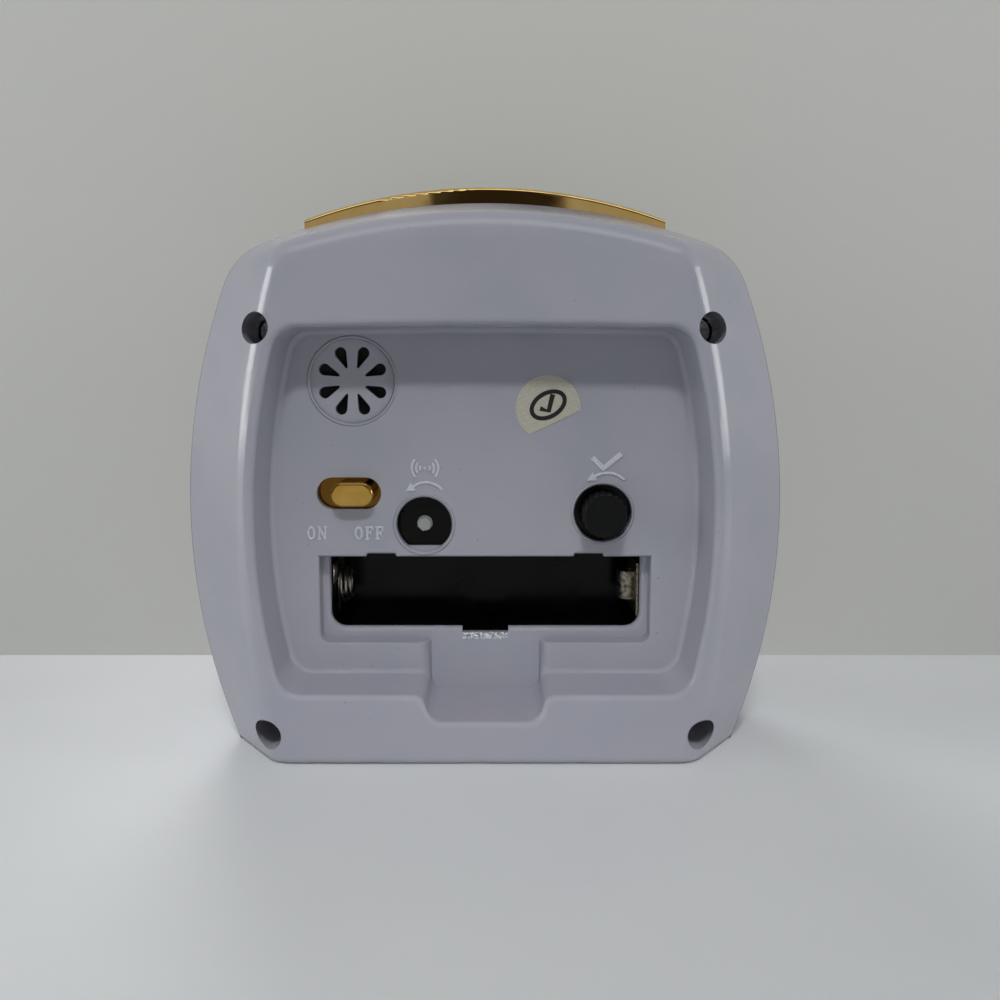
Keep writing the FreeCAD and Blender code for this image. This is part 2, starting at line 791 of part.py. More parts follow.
def rear_rounds(body):
    """Rounds the channel's lips, the door seat, the battery mouth and the rim, in that order."""
    rear, panel, ledge = value("rear_y"), value("panel_y"), value("ledge_y")
    inner = min(value("channel_half_width"), value("channel_mouth_low_half"))
    outer = max(value("channel_half_width"), value("channel_mouth_half"))
    corner, lip = value("channel_rounding"), value("channel_lip_rounding")
    seat_low, seat_high = value("door_low_z"), value("door_top_z + notch_height")
    mouth_low, mouth_half = value("bay_low_z"), value("bay_half_width")

    def beside_channel(edge):
        """Where a side of the finger channel comes out through the foot of the recess."""
        near = edge.BoundBox
        across = [abs(point.X) for point in edge.Vertexes]
        return (inner - corner < min(across) and max(across) < outer + corner
                and panel - 0.01 < near.YMin and edge.CenterOfMass.y < rear - 0.01
                and value("recess_bottom") - 0.5 < near.ZMin and near.ZMax < seat_low + 0.01)

    def round_door(edge):
        """The edge of the door seat on the panel, and on down beside the finger channel."""
        near = edge.BoundBox
        on_panel = on_plane(edge, panel) and seat_low - 0.01 < near.ZMin
        beside = abs(near.ZMin - seat_low) + abs(near.ZMax - seat_low) < 0.02
        beside = beside and near.YMax > ledge + 0.01 and abs(edge.CenterOfMass.x) < outer + lip
        return (on_panel and near.ZMax < seat_high + 0.01) or beside

    def round_mouth(edge):
        """The sides and foot of the battery mouth on its ledge."""
        near = edge.BoundBox
        return (on_plane(edge, ledge) and mouth_low - 0.01 < near.ZMin < mouth_low + 5
                and max(abs(near.XMin), abs(near.XMax)) < mouth_half + 0.01)

    def on_rim(edge):
        """The mouth of the recess and channel: a rear edge that one of their walls ends in."""
        near = edge.BoundBox
        walls = [face.BoundBox for face in mouth.Shape.ancestorsOfType(edge, Part.Face)]
        return (near.YMin > rear - 1.6 and near.YMax < rear + 0.01
                and any(ledge - 0.01 < wall.YMin < panel + 1 for wall in walls))

    lips = soften("rear_case_lips", body, beside_channel, "channel_lip_rounding")
    seat = soften("rear_case_seat", lips, round_door, "door_rounding")
    mouth = soften("rear_case_mouth", seat, round_mouth, "bay_rounding")
    return soften("rear_case", mouth, on_rim, "rim_rounding")


def finger_channel():
    """The thumb channel below the battery opening: it runs down and out through the rim."""
    body = doc.addObject("PartDesign::Body", "finger_channel")
    back = [("-channel_mouth_low_half", "channel_mouth_z"),
            ("channel_mouth_low_half", "channel_mouth_z"),
            ("channel_mouth_half + channel_rounding", "door_low_z + 1"),
            ("-channel_mouth_half - channel_rounding", "door_low_z + 1")]
    front = [("-channel_half_width", "channel_floor_z"), ("channel_half_width", "channel_floor_z"),
             ("channel_half_width", "door_low_z + 1"), ("-channel_half_width", "door_low_z + 1")]
    form = body.newObject("PartDesign::AdditiveLoft", "finger_channel_loft")
    form.Profile = quad(body, "channel_back", "rear_y", back)
    form.Sections = [quad(body, "channel_front", "ledge_y", front)]
    form.Ruled = True
    low = value("channel_floor_z") + 0.1
    round_edges(body, "channel_corners", form,
                lambda e: e.BoundBox.ZMax < low and e.BoundBox.YLength > 5, "channel_rounding")
    return body


def alarm_opening():
    """A round hole with a short flat ledge across its foot."""
    hole = rod("alarm_hole", "alarm_hole_radius", "rear_y", "panel_y - panel_wall - 1", "alarm_x",
               "alarm_z")
    ledge = block("alarm_ledge", "alarm_x - alarm_hole_radius", "alarm_x + alarm_hole_radius",
                  "panel_y - panel_wall - 1", "panel_y - panel_wall / 2",
                  "alarm_z - alarm_hole_radius", "alarm_z - alarm_chord")
    return cut("alarm_opening", hole, ledge)


def grille_slots():
    """Eight drop-shaped slots round the middle of the grille, repeated by a polar pattern."""
    body = doc.addObject("PartDesign::Body", "grille_slots")
    line = sketch(body, "grille_slot_line", "panel_y")
    tip_r, end_r = value("slot_tip_radius"), value("slot_end_radius")
    inner, outer = value("slot_inner + slot_tip_radius"), value("slot_outer - slot_end_radius")
    lean = math.asin((end_r - tip_r) / (outer - inner))
    side = Vector(-math.sin(lean), math.cos(lean), 0)
    lower = Vector(side.x, -side.y, 0)
    tip, end = Vector(inner, 0, 0), Vector(outer, 0, 0)
    line.addGeometry([
        Part.LineSegment(tip + lower * tip_r, end + lower * end_r),
        arc(end, end_r, end + lower * end_r, end + side * end_r),
        Part.LineSegment(end + side * end_r, tip + side * tip_r),
        arc(tip, tip_r, tip + side * tip_r, tip + lower * tip_r),
    ], False)
    line.addConstraint([Sketcher.Constraint("Tangent", i, 2, (i + 1) % 4, 1) for i in range(4)]
                       + [Sketcher.Constraint("PointOnObject", 1, 3, -1),
                          Sketcher.Constraint("PointOnObject", 3, 3, -1)])
    measure(line, "end_radius", ("Radius", 1), "slot_end_radius")
    measure(line, "tip_radius", ("Radius", 3), "slot_tip_radius")
    measure(line, "end_centre", ("DistanceX", -1, 1, 1, 3), "slot_outer - slot_end_radius")
    measure(line, "tip_centre", ("DistanceX", -1, 1, 3, 3), "slot_inner + slot_tip_radius")
    slot = pad(body, "grille_slot", line, "panel_wall + 1")
    ring = body.newObject("PartDesign::PolarPattern", "grille_ring")
    ring.Originals = [slot]
    ring.Axis = (origin_plane(body, "Y_Axis"), [""])
    ring.Angle = 360
    bind(ring, "Occurrences", "slot_count")
    body.Tip = ring
    turn = Rotation(Vector(0, 1, 0), value("180 / slot_count"))
    return place(body, "speaker_x", "0", "speaker_z", turn)


# Front case: the deep half, with the window, the tube down to the dial and the key shelf

def front_case():
    outer, form = shell_form("front_outer", ("joint_y", *below_base(PARTING)),
                             ("front_y", *below_base(FACE)))
    face = value("front_y")
    round_edges(outer, "front_rim", form, lambda e: on_plane(e, face, 1), "front_rounding")
    hollow, _ = shell_form("front_hollow", ("joint_y", *grown(PARTING, "-wall")),
                           ("front_y + wall", *grown(FACE, "-wall")))
    kept = [rod("dial_tube", "bezel_inner + skirt_wall", "dial_y", "front_y")]
    bind(kept[0], "Placement.Base.z", "hub_z")
    for i, (x, z) in enumerate(WELLS):
        kept.append(rod(f"front_boss_{i}", "boss_radius", "well_low_y", "front_y", x, z))
    kept.append(block("key_shelf", "-case_half_width", "case_half_width", "shelf_front_y",
                      "shelf_rear_y", "shelf_z", "shelf_top"))
    space = cut("front_space", hollow, *kept)
    tools = [space, base_cutter("front_base_cutter")]
    tools.append(rod("window", "bezel_inner", "dial_y + 1", "front_y - 1", "0", "hub_z"))
    tools.append(rod("lens_seat", "lens_radius + lens_gap", "front_y + lens_thickness",
                     "front_y - 1", "0", "hub_z"))
    for i, (x, z) in enumerate(WELLS):
        tools.append(rod(f"well_socket_{i}", "well_radius + well_wall + well_fit", "joint_y + 1",
                         "well_low_y", x, z))
        tools.append(rod(f"thread_{i}", "screw_radius + thread_clearance", "joint_y + 1",
                         "screw_seat_y - screw_length - 1", x, z))
    tools.append(block("key_opening", "-key_half_width - key_gap", "key_half_width + key_gap",
                       "key_front_y - key_gap", "key_rear_y + key_gap", "shelf_top",
                       "key_top"))
    return node(cut("front_case", outer, *tools), "front_case")


def bezel_ring():
    """A gold ring with a sloped inner face, turned about the dial axis."""
    body = doc.addObject("PartDesign::Body", "bezel_ring")
    line = body.newObject("Sketcher::SketchObject", "bezel_line")
    line.AttachmentSupport = (origin_plane(body, "XY_Plane"), [""])
    line.MapMode = "FlatFace"
    corners = [("bezel_inner", "front_y"), ("bezel_radius", "front_y"),
               ("bezel_radius", "bezel_end_y"), ("bezel_inner + bezel_slope", "bezel_end_y")]
    points = [Vector(value(x), value(y), 0) for x, y in corners]
    line.addGeometry([Part.LineSegment(points[i], points[(i + 1) % 4]) for i in range(4)], False)
    line.addConstraint([Sketcher.Constraint("Coincident", i, 2, (i + 1) % 4, 1) for i in range(4)])
    for i, (x, y) in enumerate(corners):
        measure(line, f"x{i}", ("DistanceX", -1, 1, i, 1), x)
        measure(line, f"y{i}", ("DistanceY", -1, 1, i, 1), y)
    ring = body.newObject("PartDesign::Revolution", "bezel_turned")
    ring.Profile = line
    ring.ReferenceAxis = (origin_plane(body, "Y_Axis"), [""])
    ring.Angle = 360
    end = value("bezel_end_y")
    round_edges(body, "bezel_rim", ring, lambda e: on_plane(e, end), "bezel_rounding")
    place(body, "0", "0", "hub_z")
    return node(body, "bezel_ring")


def front_pieces():
    bezel_ring()
    node(rod("lens", "lens_radius", "front_y + lens_thickness", "front_y", "0", "hub_z"), "lens")
    plate = rod("dial_plate", "dial_radius", "dial_y + dial_thickness", "dial_y", "0", "hub_z")
    hole = rod("dial_hole", "bush_radius + bush_gap", "dial_y + 2", "dial_y - 1", "0", "hub_z")
    node(cut("dial", plate, hole), "dial")


def case_screws():
    """Four tapping screws with round heads and a cross recess cut as two slots."""
    screws = []
    for i, (x, z) in enumerate(WELLS):
        head = rod(f"screw_head_{i}", "screw_head_radius", "screw_seat_y + screw_head_height",
                   "screw_seat_y", x, z)
        shank = rod(f"screw_shank_{i}", "screw_radius", "screw_seat_y + 0.5",
                    "screw_seat_y - screw_length", x, z)
        deep = "screw_seat_y + screw_head_height - recess_drive_depth"
        flat = block(f"drive_flat_{i}", f"{x} - recess_drive_radius", f"{x} + recess_drive_radius",
                     deep, "rear_y", f"{z} - recess_drive_width / 2", f"{z} + recess_drive_width / 2")
        tall = block(f"drive_tall_{i}", f"{x} - recess_drive_width / 2",
                     f"{x} + recess_drive_width / 2", deep, "rear_y", f"{z} - recess_drive_radius",
                     f"{z} + recess_drive_radius")
        screws.append(cut(f"screw_{i}", fuse(f"screw_blank_{i}", head, shank), flat, tall))
    node(group("case_screws", screws), "case_screws")


# Battery tray and its contacts

def battery_pieces():
    rear, floor = "collar_low_y", "tray_floor_y"
    low, high = "bay_low_z - battery_side_play - tray_lip", "door_top_z + battery_side_play"
    outside = block("tray_outside", "-bay_half_width - tray_wall", "bay_half_width + tray_wall",
                    f"{floor} - tray_wall", rear, f"{low} - tray_wall", f"{high} + tray_wall")
    inside = block("tray_inside", "-bay_half_width", "bay_half_width", floor, "rear_y", low, high)
    node(cut("battery_tray", outside, inside), "battery_tray")

    # Positive contact at -X: a strip on the end wall with a round leaf that stands out from it
    middle = f"(({low}) + ({high})) / 2"
    strip_rear = f"{rear} - contact_thickness"
    wall = "-bay_half_width + seat_gap / 3"
    leaf = block("positive_leaf", wall, f"{wall} + contact_thickness", f"{floor} + seat_gap / 3",
                 strip_rear, f"{middle} - contact_half_width", f"{middle} + contact_half_width")
    at = f"{wall} + contact_leaf_reach - contact_leaf_radius"
    outer, inner = (post(f"positive_{name}", radius, f"{middle} - contact_leaf_half",
                         f"{middle} + contact_leaf_half", at, f"{rear} - battery_radius")
                    for name, radius in (("bulge", "contact_leaf_radius"),
                                         ("bulge_inside", "contact_leaf_radius - contact_thickness")))
    proud = block("positive_bulge_room", f"{wall} + contact_thickness / 2", "0", floor, strip_rear,
                  f"{middle} - contact_leaf_half", f"{middle} + contact_leaf_half")
    bulge = common("positive_bow", cut("positive_tube", outer, inner), proud)
    node(fuse("positive_contact", leaf, bulge), "positive_contact")

    # Negative contact at +X: a strip with a conical spring drawn as its outer cone
    wall = "bay_half_width - seat_gap / 3"
    strip = block("negative_leaf", f"{wall} - contact_thickness", wall, f"{floor} + seat_gap / 3",
                  strip_rear, f"{middle} - contact_half_width", f"{middle} + contact_half_width")
    cone = doc.addObject("Part::Cone", "negative_coil")
    bind(cone, "Radius1", "contact_coil_radius")
    bind(cone, "Radius2", "contact_coil_tip")
    bind(cone, "Height", "contact_reach")
    cone.Placement = Placement(Vector(0, 0, 0), Rotation(Vector(0, 1, 0), -90))
    bind(cone, "Placement.Base.x", f"{wall} - contact_thickness / 2")
    bind(cone, "Placement.Base.y", f"{rear} - battery_radius")
    bind(cone, "Placement.Base.z", middle)
    node(fuse("negative_contact", strip, cone), "negative_contact")


# Wheels: each body has its axis on Y through its own origin

def wheel(name, x, z, phase):
    body = doc.addObject("PartDesign::Body", name)
    place(body, x, "0", z, Rotation(Vector(0, 1, 0), -phase))
    return body


def disc(body, name, radius, rear, front):
    line = sketch(body, name + "_line", rear)
    line.addGeometry([Part.Circle(Vector(0, 0, 0), Vector(0, 0, 1), value(radius))], False)
    line.addConstraint([Sketcher.Constraint("Coincident", 0, 3, -1, 1)])
    measure(line, "radius", ("Radius", 0), radius)
    return pad(body, name, line, f"({rear}) - ({front})")


def bore(body, name, radius, rear, front):
    line = sketch(body, name + "_line", rear)
    line.addGeometry([Part.Circle(Vector(0, 0, 0), Vector(0, 0, 1), value(radius))], False)
    line.addConstraint([Sketcher.Constraint("Coincident", 0, 3, -1, 1)])
    measure(line, "radius", ("Radius", 0), radius)
    item = body.newObject("PartDesign::Pocket", name)
    item.Profile = line
    item.Reversed = True
    bind(item, "Length", f"({rear}) - ({front})")
    return item


ADDENDUM = 0.85
DEDENDUM = 1.2


def teeth(body, name, count, module, rear, front):
    """A toothed disc: one tapered tooth on the root circle, repeated by a polar pattern."""
    root = f"{module} * ({count} / 2 - {DEDENDUM})"
    disc(body, name + "_root", root, rear, front)
    line = sketch(body, name + "_tooth_line", rear)
    tip = f"{module} * ({count} / 2 + {ADDENDUM})"
    foot_half = f"{module} * 0.66"
    tip_half = f"{module} * 0.28"
    inner = f"({root}) * 0.94"
    corners = [(inner, f"-({foot_half})"), (tip, f"-({tip_half})"), (tip, tip_half),
               (inner, foot_half)]
    points = [Vector(value(x), value(z), 0) for x, z in corners]
    line.addGeometry([Part.LineSegment(points[i], points[(i + 1) % 4]) for i in range(4)], False)
    line.addConstraint([Sketcher.Constraint("Coincident", i, 2, (i + 1) % 4, 1) for i in range(4)])
    for i, (x, z) in enumerate(corners):
        measure(line, f"x{i}", ("DistanceX", -1, 1, i, 1), x)
        measure(line, f"z{i}", ("DistanceY", -1, 1, i, 1), z)
    tooth = pad(body, name + "_tooth", line, f"({rear}) - ({front})")
    ring = body.newObject("PartDesign::PolarPattern", name + "_teeth")
    ring.Originals = [tooth]
    ring.Axis = (origin_plane(body, "Y_Axis"), [""])
    ring.Angle = 360
    bind(ring, "Occurrences", count)
    body.Tip = ring
    return ring


def centre(x, z, distance, angle):
    """The place of a wheel at a distance and an angle from another one."""
    return (f"{x} + ({distance}) * cos({angle} * 1deg)", f"{z} + ({distance}) * sin({angle} * 1deg)")


def bearing(first, second):
    """The angle from one place to another in the XZ plane, in degrees."""
    return math.degrees(math.atan2(value(second[1]) - value(first[1]),
                                   value(second[0]) - value(first[0])))


def meshed(first, first_phase, first_teeth, second, second_teeth):
    """The phase that puts the second wheel's teeth in the gaps of the first one's."""
    angle = bearing(first, second)
    ahead = (first_phase - angle) * value(first_teeth) / 360
    return angle + 180 + (0.5 - ahead) * 360 / value(second_teeth)


HUB = ("0", "hub_z")
KNOB = ("knob_x", "knob_z")
ALARM = ("alarm_x", "alarm_z")
HUB_TO_KNOB = "sqrt(knob_x * knob_x + (hub_z - knob_z) * (hub_z - knob_z))"
HUB_TO_MINUTE = "(motion_module * (cannon_teeth + minute_wheel_teeth) / 2)"
KNOB_TO_MINUTE = "(motion_module * (set_pinion_teeth + minute_wheel_teeth) / 2)"
MINUTE_ALONG = (f"(({HUB_TO_MINUTE} * {HUB_TO_MINUTE} - {KNOB_TO_MINUTE} * {KNOB_TO_MINUTE}"
                f" + {HUB_TO_KNOB} * {HUB_TO_KNOB}) / (2 * {HUB_TO_KNOB}))")
MINUTE_ACROSS = f"sqrt({HUB_TO_MINUTE} * {HUB_TO_MINUTE} - {MINUTE_ALONG} * {MINUTE_ALONG})"
MINUTE = (f"({MINUTE_ALONG} * knob_x + {MINUTE_ACROSS} * (knob_z - hub_z)) / {HUB_TO_KNOB}",
          f"hub_z + ({MINUTE_ALONG} * (knob_z - hub_z) - {MINUTE_ACROSS} * knob_x) / {HUB_TO_KNOB}")
HOUR_MODULE = f"(2 * {HUB_TO_MINUTE} / (minute_pinion_teeth + hour_wheel_teeth))"
ALARM_DISTANCE = "sqrt(alarm_x * alarm_x + (hub_z - alarm_z) * (hub_z - alarm_z))"
ALARM_MODULE = f"(2 * {ALARM_DISTANCE} / (alarm_pinion_teeth + alarm_wheel_teeth))"
ALARM_TIP = f"{ALARM_MODULE} * (alarm_pinion_teeth / 2 + {ADDENDUM})"
THIRD_DISTANCE = "(centre_module * (centre_wheel_teeth + third_pinion_teeth) / 2)"
THIRD_MODULE = f"(2 * {THIRD_DISTANCE} / (third_wheel_teeth + second_pinion_teeth))"
FIFTH_DISTANCE = "(second_module * (second_wheel_teeth + fifth_pinion_teeth) / 2)"
ROTOR_DISTANCE = "(rotor_module * (fifth_wheel_teeth + rotor_pinion_teeth) / 2)"
THIRD = centre("0", "hub_z", THIRD_DISTANCE, "third_angle")
FIFTH = centre("0", "hub_z", FIFTH_DISTANCE, "fifth_angle")
ROTOR = centre(FIFTH[0], FIFTH[1], ROTOR_DISTANCE, "rotor_angle")


def pinion_span(rear):
    """A pinion is a little longer than the wheel that it meets."""
    return f"{rear} + pinion_margin", f"{rear} - wheel_thickness - pinion_margin"


def wheel_span(rear):
    return rear, f"{rear} - wheel_thickness"


def motion_work():
    """The hub wheels and the setting wheels between the front plate and the middle plate."""
    hub_phase = 0.0
    minute_phase = meshed(HUB, hub_phase, "cannon_teeth", MINUTE, "minute_wheel_teeth")
    knob_phase = meshed(MINUTE, minute_phase, "minute_wheel_teeth", KNOB, "set_pinion_teeth")
    hour_phase = meshed(MINUTE, minute_phase, "minute_pinion_teeth", HUB, "hour_wheel_teeth")
    alarm_phase = meshed(HUB, hub_phase, "alarm_wheel_teeth", ALARM, "alarm_pinion_teeth")

    cannon = wheel("cannon_pinion", *HUB, hub_phase)
    tube_end = "centre_wheel_y + pinion_margin / 2"
    disc(cannon, "minute_tube_bar", "minute_tube", tube_end, "minute_hand_y - hand_thickness")
    teeth(cannon, "cannon", "cannon_teeth", "motion_module", *pinion_span("minute_wheel_y"))
    bore(cannon, "minute_tube_bore", "arbor_radius + tube_clearance", tube_end + " + 1",
         "minute_hand_y - 2")
    node(cannon, "cannon_pinion")

    minute = wheel("minute_wheel", *MINUTE, minute_phase)
    disc(minute, "minute_arbor", "arbor_radius", "mid_front_y + mid_thickness / 2",
         "plate_inside_y - move_wall / 2")
    teeth(minute, "minute_rim", "minute_wheel_teeth", "motion_module",
          *wheel_span("minute_wheel_y"))
    teeth(minute, "minute_leaf", "minute_pinion_teeth", HOUR_MODULE, "minute_wheel_y - 0.1",
          pinion_span("hour_wheel_y")[1])
    node(minute, "minute_wheel")

    hour = wheel("hour_wheel", *HUB, hour_phase)
    disc(hour, "hour_tube_bar", "hour_tube", "hour_wheel_y", "hour_hand_y - hand_thickness")
    teeth(hour, "hour_rim", "hour_wheel_teeth", HOUR_MODULE, *wheel_span("hour_wheel_y"))
    bore(hour, "hour_bore", "minute_tube + tube_clearance", "hour_wheel_y + 1", "hour_hand_y - 2")
    node(hour, "hour_wheel")

    alarm = wheel("alarm_wheel", *HUB, hub_phase)
    disc(alarm, "alarm_tube_bar", "alarm_tube", "alarm_wheel_y", "alarm_hand_y - hand_thickness")
    teeth(alarm, "alarm_rim", "alarm_wheel_teeth", ALARM_MODULE, *wheel_span("alarm_wheel_y"))
    bore(alarm, "alarm_bore", "hour_tube + tube_clearance", "alarm_wheel_y + 1",
         "alarm_hand_y - 2")
    node(alarm, "alarm_wheel")

    stem = wheel("alarm_set_stem", *ALARM, alarm_phase)
    disc(stem, "alarm_stem_bar", "stem_radius", "panel_y - panel_wall",
         "plate_inside_y - move_wall / 2")
    teeth(stem, "alarm_leaf", "alarm_pinion_teeth", ALARM_MODULE, *wheel_span("alarm_wheel_y"))
    hexagon(stem)
    node(stem, "alarm_set_stem")

    knob = wheel("time_set_stem", *KNOB, knob_phase)
    disc(knob, "time_stem_bar", "stem_radius", "knob_low_y + knob_bore_depth",
         "plate_inside_y - move_wall / 2")
    teeth(knob, "set_leaf", "set_pinion_teeth", "motion_module", *wheel_span("minute_wheel_y"))
    node(knob, "time_set_stem")


def hexagon(body):
    """The six-sided end of the alarm stem, flats up and down, made for a push-on knob."""
    line = sketch(body, "hex_line", "panel_y - alarm_end_depth")
    radius = value("alarm_flats") / math.sqrt(3)
    turn = math.radians(30)
    points = [Vector(radius * math.cos(turn + math.pi * k / 3),
                     radius * math.sin(turn + math.pi * k / 3), 0) for k in range(6)]
    line.addGeometry([Part.LineSegment(points[k], points[(k + 1) % 6]) for k in range(6)], False)
    line.addGeometry([Part.Circle(Vector(0, 0, 0), Vector(0, 0, 1), radius)], True)
    line.addConstraint([Sketcher.Constraint("Coincident", k, 2, (k + 1) % 6, 1) for k in range(6)]
                       + [Sketcher.Constraint("Equal", k, k + 1) for k in range(5)]
                       + [Sketcher.Constraint("PointOnObject", k, 1, 6) for k in range(6)]
                       + [Sketcher.Constraint("Coincident", 6, 3, -1, 1),
                          Sketcher.Constraint("Vertical", 5)])
    measure(line, "corner_circle", ("Radius", 6), "alarm_flats / sqrt(3)")
    pad(body, "hex_end", line, "panel_wall - alarm_end_depth + 0.5")


def time_knob():
    """The black knob: a turned cap with a ridged rim and a blind bore for its stem."""
    body = wheel("time_set_knob", *KNOB, 0)
    cap = disc(body, "knob_cap", "knob_radius - knob_ridge_radius / 2", "knob_end_y", "knob_low_y")
    end = value("knob_end_y")
    round_edges(body, "knob_edge", cap, lambda e: on_plane(e, end), "knob_ridge_radius")
    line = sketch(body, "knob_ridge_line", "knob_end_y - 2 * knob_ridge_radius")
    away = "knob_radius - knob_ridge_radius"
    line.addGeometry([Part.Circle(Vector(value(away), 0, 0), Vector(0, 0, 1),
                                  value("knob_ridge_radius"))], False)
    line.addConstraint([Sketcher.Constraint("PointOnObject", 0, 3, -1)])
    measure(line, "radius", ("Radius", 0), "knob_ridge_radius")
    measure(line, "away", ("DistanceX", -1, 1, 0, 3), away)
    ridge = pad(body, "knob_ridge", line, "knob_end_y - 2 * knob_ridge_radius - knob_low_y")
    ring = body.newObject("PartDesign::PolarPattern", "knob_ridge_ring")
    ring.Originals = [ridge]
    ring.Axis = (origin_plane(body, "Y_Axis"), [""])
    ring.Angle = 360
    bind(ring, "Occurrences", "knob_ridges")
    body.Tip = ring
    bore(body, "knob_bore", "stem_radius + hand_fit", "knob_low_y + knob_bore_depth + seat_gap",
         "knob_low_y - 1")
    node(body, "time_set_knob")


def going_train():
    """Rotor, fifth, second, third and centre wheels between the middle plate and the cover."""
    second_phase = 0.0
    fifth_phase = meshed(HUB, second_phase, "second_wheel_teeth", FIFTH, "fifth_pinion_teeth")
    rotor_phase = meshed(FIFTH, fifth_phase, "fifth_wheel_teeth", ROTOR, "rotor_pinion_teeth")
    third_phase = meshed(HUB, second_phase, "second_pinion_teeth", THIRD, "third_wheel_teeth")
    centre_phase = meshed(THIRD, third_phase, "third_pinion_teeth", HUB, "centre_wheel_teeth")
    front = "mid_front_y + mid_thickness / 2"

    big = wheel("centre_wheel", *HUB, centre_phase)
    teeth(big, "centre_rim", "centre_wheel_teeth", "centre_module", *wheel_span("centre_wheel_y"))
    bore(big, "centre_bore", "minute_tube + bearing_clearance", "centre_wheel_y + 1",
         "centre_wheel_y - 2")
    node(big, "centre_wheel")

    third = wheel("third_wheel", *THIRD, third_phase)
    disc(third, "third_arbor", "arbor_radius", "third_wheel_y + 2 * wheel_thickness + post_gap",
         front)
    teeth(third, "third_rim", "third_wheel_teeth", THIRD_MODULE, *wheel_span("third_wheel_y"))
    teeth(third, "third_leaf", "third_pinion_teeth", "centre_module", "third_wheel_y - 0.1",
          pinion_span("centre_wheel_y")[1])
    node(third, "third_wheel")

    second = wheel("second_wheel", *HUB, second_phase)
    disc(second, "second_arbor", "arbor_radius", "fifth_wheel_y + 2 * wheel_thickness",
         "second_hand_y - hand_thickness")
    teeth(second, "second_rim", "second_wheel_teeth", "second_module",
          *wheel_span("second_wheel_y"))
    teeth(second, "second_leaf", "second_pinion_teeth", THIRD_MODULE, "second_wheel_y - 0.1",
          pinion_span("third_wheel_y")[1])
    node(second, "second_wheel")

    fifth = wheel("fifth_wheel", *FIFTH, fifth_phase)
    disc(fifth, "fifth_arbor", "arbor_radius", "fifth_wheel_y + 2 * wheel_thickness", front)
    teeth(fifth, "fifth_rim", "fifth_wheel_teeth", "rotor_module", *wheel_span("fifth_wheel_y"))
    teeth(fifth, "fifth_leaf", "fifth_pinion_teeth", "second_module", "fifth_wheel_y - 0.1",
          pinion_span("second_wheel_y")[1])
    node(fifth, "fifth_wheel")

    rotor = wheel("rotor_pinion", *ROTOR, rotor_phase)
    disc(rotor, "rotor_arbor", "arbor_radius", "cover_inside_y - seat_gap", front)
    teeth(rotor, "rotor_leaf", "rotor_pinion_teeth", "rotor_module",
          "magnet_disc_front", pinion_span("fifth_wheel_y")[1])
    node(rotor, "rotor_pinion")
    blank = rod("rotor_magnet_blank", "magnet_disc_radius", "magnet_disc_rear",
                "magnet_disc_front", *ROTOR)
    hole = rod("rotor_magnet_hole", "arbor_radius + hand_fit", "magnet_disc_rear + 1",
               "magnet_disc_front - 1", *ROTOR)
    node(cut("rotor_magnet", blank, hole), "rotor_magnet")


# Movement case

